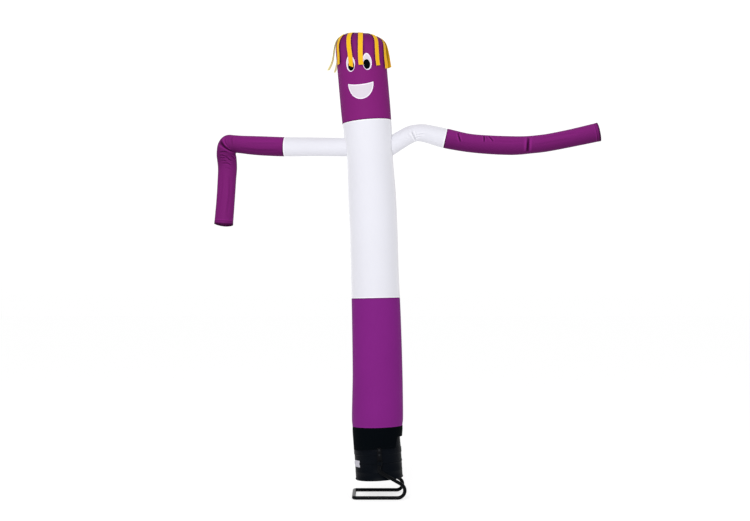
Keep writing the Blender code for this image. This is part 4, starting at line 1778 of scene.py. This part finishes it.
    def sew(self, white: Thread, purple: Thread) -> None:
        """Runs stitches 8 mm off the armhole, on both sides of the seam and 4 mm into the hem.

        Args:
            white: takes the root's stitches.
            purple: takes the sleeve's.
        """
        girth = math.tau * ARM_RADIUS
        turn = turns(self.columns)
        start = self.root_start(turn) + 0.008
        white.row(
            self.surface,
            lambda t: (t * math.tau, np.interp(t * math.tau, turn, start, period=math.tau)),
            girth, -1.0,
        )
        for thread, run in (
            (white, self.seam - ALLOWANCE), (purple, self.seam + ALLOWANCE),
            (purple, self.length - self.hem + 0.004),
        ):
            thread.row(self.surface, hoop(run), girth, -1.0)


def left_arm(body: BodyLine) -> Arm:
    """The left arm, level and then bent straight down at a creased elbow.

    Args:
        body: what it comes out of.

    Returns:
        The arm.
    """
    return Arm("left", (
        (-0.120, -0.008, 3.268, 0.0850, 0.0),
        (-0.350, 0.016, 3.271, 0.0850, 0.0),
        (-0.630, 0.045, 3.277, 0.0865, 0.0),
        (-0.898, 0.074, 3.281, 0.0895, 0.0),
        (-1.120, 0.096, 3.292, 0.0890, 0.0),
        (-1.230, 0.108, 3.300, 0.0860, 0.0),
        (-1.300, 0.114, 3.306, 0.0825, 0.0),
        (-1.380, 0.120, 3.312, 0.0825, 0.03),
        (-1.425, 0.125, 3.306, 0.0945, 0.12),
        (-1.446, 0.127, 3.283, 0.0930, 0.17),
        (-1.455, 0.129, 3.242, 0.0905, 0.17),
        (-1.456, 0.130, 3.205, 0.0905, 0.05),
        (-1.450, 0.128, 3.160, 0.0905, 0.0),
        (-1.444, 0.123, 3.085, 0.0885, 0.0),
        (-1.448, 0.117, 2.985, 0.0860, 0.0),
        (-1.458, 0.103, 2.785, 0.0850, 0.0),
        (-1.475, 0.088, 2.539, 0.0870, 0.0),
    ), 3, body, (
        Crease(((1.335, 62.0), (1.343, 27.0), (1.352, 8.0), (1.363, -11.0), (1.376, -31.0),
                (1.381, -54.0)), 0.0082, 0.0145),
        Crease(((1.349, -4.0), (1.338, -18.0), (1.310, -34.0), (1.290, -46.0)), 0.0055, 0.0070),
        Crease(((1.318, 40.0), (1.326, 12.0), (1.330, -6.0)), 0.0050, 0.0045),
        Crease(((1.400, 38.0), (1.394, 10.0), (1.399, -16.0)), 0.0060, 0.0050),
        Crease(((1.427, 34.0), (1.430, 16.0), (1.445, 2.0), (1.450, -14.0)), 0.0050, 0.0062),
        Crease(((1.452, 34.0), (1.459, 18.0), (1.460, 2.0)), 0.0045, 0.0058),
        Crease(((1.456, -2.0), (1.466, -12.0), (1.486, -22.0), (1.492, -38.0)), 0.0050, 0.0060),
        Crease(((1.480, 30.0), (1.488, 8.0), (1.500, -4.0)), 0.0048, 0.0046),
        Crease(((1.509, 26.0), (1.514, 4.0), (1.516, -10.0), (1.536, -30.0)), 0.0050, 0.0052),
        Crease(((1.448, -34.0), (1.464, -50.0), (1.488, -66.0)), 0.0055, 0.0060),
        Crease(((1.556, 10.0), (1.560, -12.0), (1.572, -34.0)), 0.0060, 0.0026),
        Crease(((1.270, 56.0), (1.276, 22.0), (1.268, -12.0)), 0.0070, 0.0030),
        Crease(((0.800, 16.0), (0.960, 10.0), (1.150, 4.0)), 0.0090, 0.0022),
        Crease(((0.830, -28.0), (1.000, -34.0), (1.200, -30.0)), 0.0100, 0.0026),
        Crease(((0.900, 44.0), (1.050, 40.0), (1.230, 42.0)), 0.0090, 0.0018),
        Crease(((1.600, 24.0), (1.740, 20.0), (1.900, 26.0)), 0.0090, 0.0020),
        Crease(((1.640, -22.0), (1.800, -28.0), (2.010, -20.0)), 0.0100, 0.0024),
        Crease(((1.395, 200.0), (1.366, 160.0), (1.352, 118.0)), 0.0080, 0.0070),
        Crease(((1.432, 210.0), (1.440, 170.0), (1.424, 130.0)), 0.0070, 0.0046),
        ), ((1.37, 0.10), (1.47, 0.08)), droop=0.010, crumple_shade=0.20)


def right_arm(body: BodyLine) -> Arm:
    """The right arm, rising from the torso, then sagging and rising again to its end.

    Args:
        body: what it comes out of.

    Returns:
        The arm.
    """
    return Arm("right", (
        (-0.020, 0.000, 3.186, 0.0810, 0.0),
        (0.097, 0.000, 3.269, 0.0820, 0.0),
        (0.205, 0.000, 3.339, 0.0815, 0.0),
        (0.285, -0.001, 3.384, 0.0800, 0.04),
        (0.350, -0.002, 3.402, 0.0775, 0.12),
        (0.420, -0.004, 3.400, 0.0815, 0.04),
        (0.520, -0.008, 3.377, 0.0870, 0.0),
        (0.623, -0.012, 3.350, 0.0910, 0.0),
        (0.840, -0.020, 3.306, 0.0850, 0.0),
        (1.042, -0.027, 3.287, 0.0860, 0.0),
        (1.230, -0.034, 3.279, 0.0865, 0.0),
        (1.330, -0.038, 3.280, 0.0840, 0.02),
        (1.417, -0.041, 3.286, 0.0810, 0.08),
        (1.500, -0.044, 3.294, 0.0810, 0.0),
        (1.590, -0.048, 3.306, 0.0805, 0.0),
        (1.803, -0.058, 3.347, 0.0815, 0.0),
        (2.059, -0.070, 3.403, 0.0860, 0.0),
    ), 7, body, (
        Crease(((0.818, -52.0), (0.826, -30.0), (0.842, -10.0), (0.857, 9.0)), 0.0072, 0.0092),
        Crease(((1.070, -66.0), (1.073, -46.0), (1.075, -28.0), (1.076, -9.0)), 0.0070, 0.0090),
        Crease(((1.116, -66.0), (1.124, -50.0), (1.142, -34.0), (1.158, -17.0)), 0.0070, 0.0092),
        Crease(((1.095, -56.0), (1.099, -42.0), (1.101, -26.0)), 0.0042, 0.0040),
        Crease(((1.498, -54.0), (1.491, -24.0), (1.485, 2.0), (1.481, 30.0), (1.476, 52.0)),
               0.0120, 0.0135),
        Crease(((1.455, -20.0), (1.462, 6.0)), 0.0050, 0.0024),
        Crease(((0.420, 76.0), (0.409, 54.0), (0.397, 22.0), (0.392, -14.0)), 0.0085, 0.0110),
        Crease(((0.404, 44.0), (0.432, 38.0), (0.470, 33.0)), 0.0060, 0.0052),
        Crease(((0.400, 22.0), (0.452, 17.0), (0.520, 9.0)), 0.0070, 0.0050),
        Crease(((0.372, 34.0), (0.356, 12.0), (0.350, -10.0)), 0.0070, 0.0040),
        Crease(((0.760, 4.0), (0.900, 12.0), (1.050, 10.0)), 0.0090, 0.0018),
        Crease(((1.180, -24.0), (1.300, -20.0), (1.440, -26.0)), 0.0100, 0.0022),
        Crease(((1.540, 8.0), (1.700, 2.0), (1.900, 6.0)), 0.0090, 0.0022),
        Crease(((1.600, -32.0), (1.760, -36.0), (1.960, -28.0)), 0.0100, 0.0024),
        Crease(((1.330, 140.0), (1.345, 210.0)), 0.0080, 0.0044),
        Crease(((0.846, 130.0), (0.858, 172.0), (0.850, 205.0)), 0.0070, 0.0046),
    ), ((0.41, 0.06), (0.84, 0.03), (1.11, 0.06), (1.49, 0.04)))


# ------------------ the skirt
@dataclass
class Skirt:
    """The black collar from the body down over the blower's neck, cut up over one side.

    Full is a row of the body's table, below which the cloth runs straight down to the hem's ring
    over the ledge.  Lift is the hem's height off it in front, and slit its height where it is cut
    up, from one azimuth in degrees to the other.  Radius, the flat piece's girth over a turn, and
    the cloth share of it that is left are not used.  The stitch lines are shares of the way down.
    """

    line: BodyLine
    full: tuple[float, float, float, float] = (0.612, -0.0160, 0.2350, 1.8)
    hem_radius: float = 0.2235
    ledge: float = 0.446
    lift: float = 0.012
    slit: float = 0.106
    slit_from: float = 50.0
    slit_to: float = 130.0
    radius: float = 0.231
    cloth_share: float = 0.86
    stitch_lines: tuple[float, ...] = (0.045, 0.91)
    columns: int = 240
    rows: int = 46

    def hem_lift(self, turn: Array) -> Array:
        """How far the hem stands over the ledge: a little in front, and high over the slit.

        Args:
            turn: azimuth in radians.

        Returns:
            Metres.
        """
        degrees = np.degrees(np.mod(turn + math.pi, math.tau) - math.pi)
        rise = clamp((degrees - self.slit_from + 3.0) / 6.0)
        fall = clamp((self.slit_to + 3.0 - degrees) / 6.0)
        open_share = eased(np.minimum(rise, fall))
        base = SEAM_GAP * 2 + self.lift * np.maximum(np.cos(turn), 0.0) ** 2
        return base + (self.slit - base) * open_share

    def surface(self, turn: Array, share: Array) -> Array:
        """Points of the cloth from the seam, share 0, to the hem, share 1.

        Down to the full section the tube carries on; below it each line runs straight to the
        hem's ring over the leaning ledge, and stops above it by the hem's lift.

        Args:
            turn: azimuth in radians.
            share: how far down the line.

        Returns:
            The points.
        """
        height, offset, radius, lean = self.full
        drop = height - self.ledge
        reach = 1.0 - self.hem_lift(turn) / drop
        first = (SKIRT_SEAM - height) / (SKIRT_SEAM - self.ledge)
        upper = clamp(share / first)
        lower = clamp((share - first) / (1.0 - first)) * reach
        folds = 0.5 + 0.5 * uneven(turn, 91, (17, 23, 31, 41))
        hem = (1.0 - share) * drop
        relief = (
            seam_relief(share * (SKIRT_SEAM - self.ledge), turn, 93)
            - 0.0022 * folds * lower**2
            - 0.0009 * bump(hem - 0.018, 0.0022)
        )
        top = self.line.surface(turn, np.full_like(turn, SKIRT_SEAM - SEAM_GAP / 2))
        slope = math.radians(lean)
        wide = radius * np.sin(turn)
        full = np.stack([
            BLOWER_X + offset + wide * math.cos(slope), -radius * np.cos(turn),
            height + wide * math.sin(slope),
        ], axis=-1)
        hem_ring = on_drum(polar(self.hem_radius, turn, self.ledge - PIVOT[2]))
        points = top + (full - top) * upper[..., None] + (hem_ring - full) * lower[..., None]
        return points + polar(1.0, turn, 0.0) * relief[..., None]

    def build(self, material: Material) -> None:
        """Makes the skirt's cloth.

        Args:
            material: its finish.
        """
        t, s = np.meshgrid(turns(self.columns, 1), crowded(1.0, 0.0, self.rows, 0.7))
        uv = np.stack([t * BODY_RADIUS, s * 0.2], axis=-1)
        grid = Grid(self.surface(t[:, :-1], s[:, :-1]), uv=uv)
        piece = dress("skirt_cloth", grid, material, Slot.BLACK, "skirt")

    def sew(self, thread: Thread) -> None:
        """Runs stitches under the seam and above the hem."""
        for share in self.stitch_lines:
            thread.row(self.surface, hoop(share), math.tau * BODY_RADIUS, -1.0)


# ------------------ the blower
@dataclass
class Blower:
    """The drum, its brackets and knobs, and the stand that carries them.

    The strap is (height, width, length, corner), and a pad (width, length, corner).  Pads and
    bolts are heights, and a bolt's layer, its washer, head and end, is (radius, corners, near,
    far) with depths off the strap's inner face.  A knob's layer, its cap, collar and plug, has
    the share of its lobes after the corners, and depths off the stand's tube.
    """

    drum_radius: float = 0.2190
    lip_radius: float = 0.2225
    shell: float = 0.004
    bottom: float = 0.165
    stand_depth: float = 0.2485
    tube: float = 0.0165
    bracket_x: float = 0.014
    sheet: float = 0.004
    strap: tuple[float, float, float, float] = (0.385, 0.042, 0.170, 0.010)
    pad: Triple = (0.021, 0.014, 0.003)
    pads: tuple[float, ...] = (0.352, 0.388)
    bolts: tuple[float, ...] = (0.404, 0.448)
    bolt: tuple[tuple[float, int, float, float], ...] = (
        (0.0105, 24, 0.0041, 0.0056), (0.0088, 6, 0.0050, 0.0108), (0.0040, 16, 0.0100, 0.0125),
    )
    knob: tuple[tuple[float, int, float, float, float], ...] = (
        (0.0166, 60, 0.07, 0.0020, 0.0135), (0.0100, 32, 0.0, 0.0, 0.0025),
        (0.0060, 24, 0.0, 0.0130, 0.0140),
    )

    @staticmethod
    def turned(profile: Array, columns: int) -> Grid:
        """Turns a side view of (radius, height) round the drum's axis.

        Args:
            profile: the side view, up the outside and down the inside.
            columns: facets round it.

        Returns:
            The grid, closed to a ring, in the part's frame.
        """
        closed = np.concatenate([profile, profile[:1]])
        return Grid(on_drum(polar(closed[:, :1], turns(columns), closed[:, 1:])))

    def drum(self, palette: Palette) -> None:
        """Makes the drum: lips, bead, grooved top band, and the neck inside the skirt.

        Args:
            palette: the finishes.
        """
        lip, body, base = self.lip_radius, self.drum_radius, self.bottom
        corners = np.array([
            (lip - 0.004, base), (lip, base + 0.003), (lip, base + 0.013), (body, base + 0.018),
            (body, 0.236), (body + 0.0010, 0.238), (body + 0.0010, 0.243), (body, 0.245),
            (body, 0.314), (lip, 0.318), (lip, 0.3225), (lip - 0.0016, 0.3235),
            (lip - 0.0016, 0.3245), (lip, 0.3255), (lip, 0.330), (body, 0.334),
            (body, 0.398), (lip, 0.402), (lip, 0.410), (lip - 0.0012, 0.4115),
            (lip - 0.0012, 0.4150), (lip, 0.4165), (lip, 0.431), (lip - 0.0012, 0.4325),
            (lip - 0.0012, 0.4360), (lip, 0.4375), (lip, 0.4435), (lip - 0.0015, 0.446),
            (0.2185, 0.447), (0.2180, 0.450), (0.2140, 0.584), (0.2125, 0.5855),
            (0.2112, 0.5855), (0.2100, 0.584), (0.2145, 0.448), (body - self.shell, 0.402),
            (body - self.shell, base + 0.003), (body - self.shell + 0.001, base),
        ])
        corners[:, 1] -= PIVOT[2]
        mesh = self.turned(corners, 144).mesh("drum_shell")
        mesh.flip_normals()
        mesh.set_sharp_from_angle(angle=math.radians(38.0))
        carry(show(mesh, palette.plastic), Slot.PLASTIC, "drum")

    def label(self, palette: Palette) -> None:
        """Sticks the small blank white label on the drum's left, over its bead.

        Args:
            palette: the finishes.
        """
        turn, height = np.meshgrid(
            np.radians(np.linspace(-83.0, -52.0, 28)), np.linspace(0.290, 0.352, 14)
        )
        over_bead = np.where((height > 0.311) & (height < 0.337), 0.0037, 0.0)
        radius = self.drum_radius + 0.0006 + over_bead
        grid = Grid(on_drum(polar(radius, turn, height - PIVOT[2])), closed=False)
        piece = show(grid.mesh("blank_label"), palette.label)
        wall(piece, 0.0005, 1.0)
        carry(piece, Slot.PLASTIC)

    @staticmethod
    def block(outline: Array, low: float, high: float) -> Grid:
        """A slab between two depths.

        Args:
            outline: its outline in (x, z) about the drum's pivot, going round once.
            low: its near depth.
            high: its far depth.

        Returns:
            The grid, closed at both ends.
        """
        parts = np.broadcast_arrays(outline[:, 0], np.array([[low], [high]]), outline[:, 1])
        return Grid(on_drum(np.stack(parts, axis=-1)), ends=True)

    @staticmethod
    def lozenge(x: float, z: float, width: float, height: float, radius: float) -> Array:
        """A rectangle with rounded corners.

        Args:
            x: its middle.
            z: its middle's height.
            width: its width.
            height: its height.
            radius: its corners' radius.

        Returns:
            The outline, going round once.
        """
        turn = np.radians(np.linspace(0.0, 90.0, 7))
        arcs = []
        for quarter, (sx, sz) in enumerate(((1, 1), (-1, 1), (-1, -1), (1, -1))):
            angle = turn + quarter * math.pi / 2
            arcs.append(np.stack([
                x + sx * (width / 2 - radius) + radius * np.cos(angle),
                z + sz * (height / 2 - radius) + radius * np.sin(angle),
            ], axis=1))
        return np.concatenate(arcs)

    @staticmethod
    def wheel(x: float, z: float, radius: float, corners: int, lobe: float = 0.0) -> Array:
        """A round or many-sided outline.

        Args:
            x: its middle.
            z: its middle's height.
            radius: its radius.
            corners: how many.
            lobe: the share of the radius by which its six lobes rise.

        Returns:
            The outline, going round once.
        """
        turn = turns(corners)
        reach = radius * (1.0 + lobe * np.cos(6 * turn))
        return np.stack([x + reach * np.cos(turn), z + reach * np.sin(turn)], axis=1)

    @staticmethod
    def joined(name: str, grids: list[Grid]) -> bpy.types.Mesh:
        """One mesh of several closed blocks, with their faces outwards.

        Args:
            name: the mesh's name.
            grids: the blocks.

        Returns:
            The mesh.
        """
        vertices, faces, base = [], [], 0
        for grid in grids:
            mesh = grid.mesh(name)
            vertices += [tuple(v.co) for v in mesh.vertices]
            faces += [[base + k for k in face.vertices] for face in mesh.polygons]
            base += len(mesh.vertices)
            bpy.data.meshes.remove(mesh)
        whole = bpy.data.meshes.new(name)
        whole.from_pydata(vertices, [], faces)
        return whole

    def fittings(self, palette: Palette) -> None:
        """Makes each bracket with its pads and hexagon bolts, and each clamping knob.

        Args:
            palette: the finishes.
        """
        flat = self.tube * math.cos(math.pi / 12)
        inner = self.stand_depth - flat - self.sheet - SEAM_GAP
        outer = self.stand_depth + flat + SEAM_GAP
        x = self.bracket_x
        for side, sign in (("front", -1.0), ("back", 1.0)):
            def slab(outline: Array, low: float, high: float, sign: float = sign) -> Grid:
                """A slab on this side, its faces outwards."""
                return self.block(outline[::-1] if sign > 0 else outline, sign * low, sign * high)

            height, width, length, corner = self.strap
            strap = self.lozenge(x, height - PIVOT[2], width, length, corner)
            plates = [slab(strap, inner, inner + self.sheet)]
            for height in self.pads:
                pad = self.lozenge(x, height - PIVOT[2], *self.pad)
                plates.append(slab(pad, self.drum_radius + 0.0002, inner + 0.001))
            bolts = [
                slab(self.wheel(x, height - PIVOT[2], radius, corners), inner + near, inner + far)
                for height in self.bolts for radius, corners, near, far in self.bolt
            ]
            knob = [
                slab(self.wheel(x, 0.0, radius, corners, lobe), outer + near, outer + far)
                for radius, corners, lobe, near, far in self.knob
            ]
            for name, blocks, material, edge, slot, nodes in (
                (f"bracket_{side}_plate", plates, palette.steel, 0.0007, Slot.STEEL,
                 (f"bracket_{side}",)),
                (f"bolts_{side}", bolts, palette.zinc, 0.0006, Slot.STEEL, ()),
                (f"knob_{side}_cap", knob, palette.plastic, 0.0010, Slot.PLASTIC,
                 (f"knob_{side}",)),
            ):
                piece = show(self.joined(name, blocks), material)
                soften(piece, edge)
                carry(piece, slot, *nodes)

    def stand_path(self) -> Array:
        """The bent tube's middle line, from the front knob round the floor to the back one.

        Returns:
            Its points, with its six bends rounded.
        """
        floor, depth = self.tube, self.stand_depth
        top, knee = np.array([0.008, 0.0, 0.348]), np.array([-0.006, 0.0, 0.259])
        front = [top + (0, -depth, 0), knee + (0, -depth, 0), (0.419, -depth, floor)]
        back = [(0.352, depth, floor), knee + (0, depth, 0), top + (0, depth, 0)]
        corners = np.array([*front, (-0.236, -depth, floor), (-0.236, depth, floor), *back])
        path = rounded(corners, np.array([0.040, 0.067, 0.034, 0.034, 0.057, 0.040]), 14)
        return path + (BLOWER_X, 0.0, 0.0)

    def stand(self, palette: Palette) -> None:
        """Makes the bent tube, flattened where the knobs clamp it.

        A ring lies across the path; its wide direction is carried on along it by taking away
        the part along each next step.  The ends are 0.45 as thick and 1.22 as wide as the tube
        for 30 mm, and round again 18 mm further on.

        Args:
            palette: the finishes.
        """
        path = self.stand_path()
        along = unit(np.gradient(path, axis=0))
        run = np.concatenate([[0.0], np.cumsum(np.linalg.norm(np.diff(path, axis=0), axis=1))])
        fine = np.unique(np.concatenate([
            run, np.linspace(0.0, 0.05, 10), np.linspace(run[-1] - 0.05, run[-1], 10),
        ]))
        path = np.stack([np.interp(fine, run, path[:, k]) for k in range(3)], axis=1)
        along = unit(np.stack([np.interp(fine, run, along[:, k]) for k in range(3)], axis=1))
        normal, carried = np.array([1.0, 0.0, 0.0]), []
        for step in along:
            normal = unit(normal - step * float(step @ normal))
            carried.append(normal)
        normal = np.array(carried)
        side = np.cross(along, normal)
        end = np.minimum(fine, fine[-1] - fine)
        whole = eased(clamp((end - 0.030) / 0.018))
        thin = (0.45 + 0.55 * whole) * self.tube
        wide = (1.22 - 0.22 * whole) * self.tube
        turn = turns(24)
        points = (
            path[:, None] + normal[:, None] * (np.cos(turn) * wide[:, None])[..., None]
            + side[:, None] * (np.sin(turn) * thin[:, None])[..., None]
        )
        mesh = Grid(points, ends=True).mesh("stand_tube")
        mesh.set_sharp_from_angle(angle=math.radians(50.0))
        carry(show(mesh, palette.steel), Slot.STEEL, "stand")

    def build(self, palette: Palette) -> None:
        """Makes the whole blower.

        Args:
            palette: the finishes.
        """
        self.drum(palette)
        self.label(palette)
        self.fittings(palette)
        self.stand(palette)


# ------------------ studio
@dataclass
class Studio:
    """A pale floor, a soft light, a room and the camera.

    Pitch and the key light's turn are in degrees, front and ceiling are the room's strengths,
    and reach is half the floor's side.
    """

    lens: float = 61.44
    eye: Triple = (BLOWER_X - 0.040, -12.03, 1.857)
    pitch: float = 1.63
    front: float = 0.36
    ceiling: float = 0.62
    reach: float = 110.0
    floor_grey: float = 0.46
    floor_glow: float = 0.61
    key_place: Triple = (-1.8, -10.0, 6.2)
    key_turn: Triple = (67.0, 0.0, -9.0)
    key_side: float = 3.2
    key_watts: float = 620.0
    sight: float = 400.0

    def camera(self) -> None:
        """Sets the camera at eye level, 12 m in front, tipped a little up."""
        data = bpy.data.cameras.new("camera")
        data.lens, data.sensor_width = self.lens, 36.0
        data.clip_end = self.sight
        camera = bpy.data.objects.new("camera", data)
        camera.location = self.eye
        camera.rotation_euler = (math.radians(90.0 + self.pitch), 0.0, 0.0)
        bpy.context.scene.collection.objects.link(camera)
        bpy.context.scene.camera = camera

    def key(self) -> None:
        """Adds the square soft light, high in front and a little to the left."""
        data = bpy.data.lights.new("key", "AREA")
        data.shape, data.size, data.energy = "SQUARE", self.key_side, self.key_watts
        lamp = bpy.data.objects.new("key", data)
        lamp.location = self.key_place
        lamp.rotation_euler = tuple(math.radians(v) for v in self.key_turn)
        bpy.context.scene.collection.objects.link(lamp)

    def sky(self, tree: bpy.types.NodeTree) -> None:
        """A dim room with a white backdrop behind and a bright ceiling.

        With d the way looked, the strength is front + (1 - front) * ramp(d.y from 0.5 to 0.88)
        + ceiling * max(d.z, 0).

        Args:
            tree: the world's node tree.
        """
        way = tree.nodes.new("ShaderNodeSeparateXYZ")
        tree.links.new(tree.nodes.new("ShaderNodeTexCoord").outputs["Generated"], way.inputs[0])
        ramp = tree.nodes.new("ShaderNodeMapRange")
        ramp.inputs["From Min"].default_value, ramp.inputs["From Max"].default_value = 0.5, 0.88
        ramp.inputs["To Min"].default_value, ramp.inputs["To Max"].default_value = self.front, 1.0
        tree.links.new(way.outputs[1], ramp.inputs["Value"])
        above = math_node(tree, "MAXIMUM", way.outputs[2], 0.0)
        above = math_node(tree, "MULTIPLY", above, self.ceiling)
        background = tree.nodes["Background"]
        strength = math_node(tree, "ADD", ramp.outputs[0], above)
        tree.links.new(strength, background.inputs["Strength"])
        background.inputs["Color"].default_value = (1.0, 1.0, 1.0, 1.0)

    def build(self) -> None:
        """Sets up the floor, the room, the light and the camera."""
        side = np.linspace(-self.reach, self.reach, 3)
        x, y = np.meshgrid(side, side)
        grid = Grid(np.stack([x, y, np.zeros_like(x)], axis=-1), closed=False)
        paint = Shader("floor_paint").coat(
            None, Base_Color=(self.floor_grey,) * 3 + (1.0,), Emission_Color=(1.0,) * 4,
            Emission_Strength=self.floor_glow, Roughness=0.9, Specular_IOR_Level=0.0,
        )
        show(grid.mesh("floor"), paint)
        world = bpy.data.worlds.new("sky")
        world.use_nodes = True
        self.sky(world.node_tree)
        bpy.context.scene.world = world
        bpy.context.scene.view_settings.view_transform = "Standard"
        self.key()
        self.camera()


# ------------------ the whole object
def main() -> None:
    """Builds every piece in order."""
    palette = Palette()
    Studio().build()
    threads = {slot: Thread(slot) for slot in palette.threads}
    body = BodyLine()
    arms = (left_arm(body), right_arm(body))

    Blower().build(palette)
    skirt = Skirt(body)
    skirt.build(palette.black)
    skirt.sew(threads[Slot.BLACK])

    legs = Panel(
        "legs_cloth", "legs", SKIRT_SEAM, WAIST_SEAM, Slot.PURPLE, "skirt_cloth", 11,
        low_edge=-0.45, high_edge=0.35,
    )
    legs.build(palette.purple)
    legs.sew(threads[Slot.PURPLE])
    torso = Panel(
        "torso_cloth", "torso", WAIST_SEAM, NECK_SEAM, Slot.WHITE, "legs_cloth", 21, rows=104,
        low_edge=-0.8, high_edge=-0.9,
    )
    torso.build(palette.white, lambda p: arms[0].inside(p) | arms[1].inside(p))
    torso.sew(threads[Slot.WHITE])
    for arm in arms:
        arm.build(palette)
        arm.sew(threads[Slot.WHITE], threads[Slot.PURPLE])

    head = Head()
    hair = Hair()
    head.build(palette.magenta, hair.shade(head))
    head.sew(threads[Slot.PURPLE])
    Face().build(head, palette)
    hair.build(head, palette, threads[Slot.YELLOW])
    for slot, thread in threads.items():
        thread.build(palette.threads[slot])


if __name__ == "__main__":
    logging.basicConfig(level=logging.INFO, format="%(name)s %(message)s")
    main()
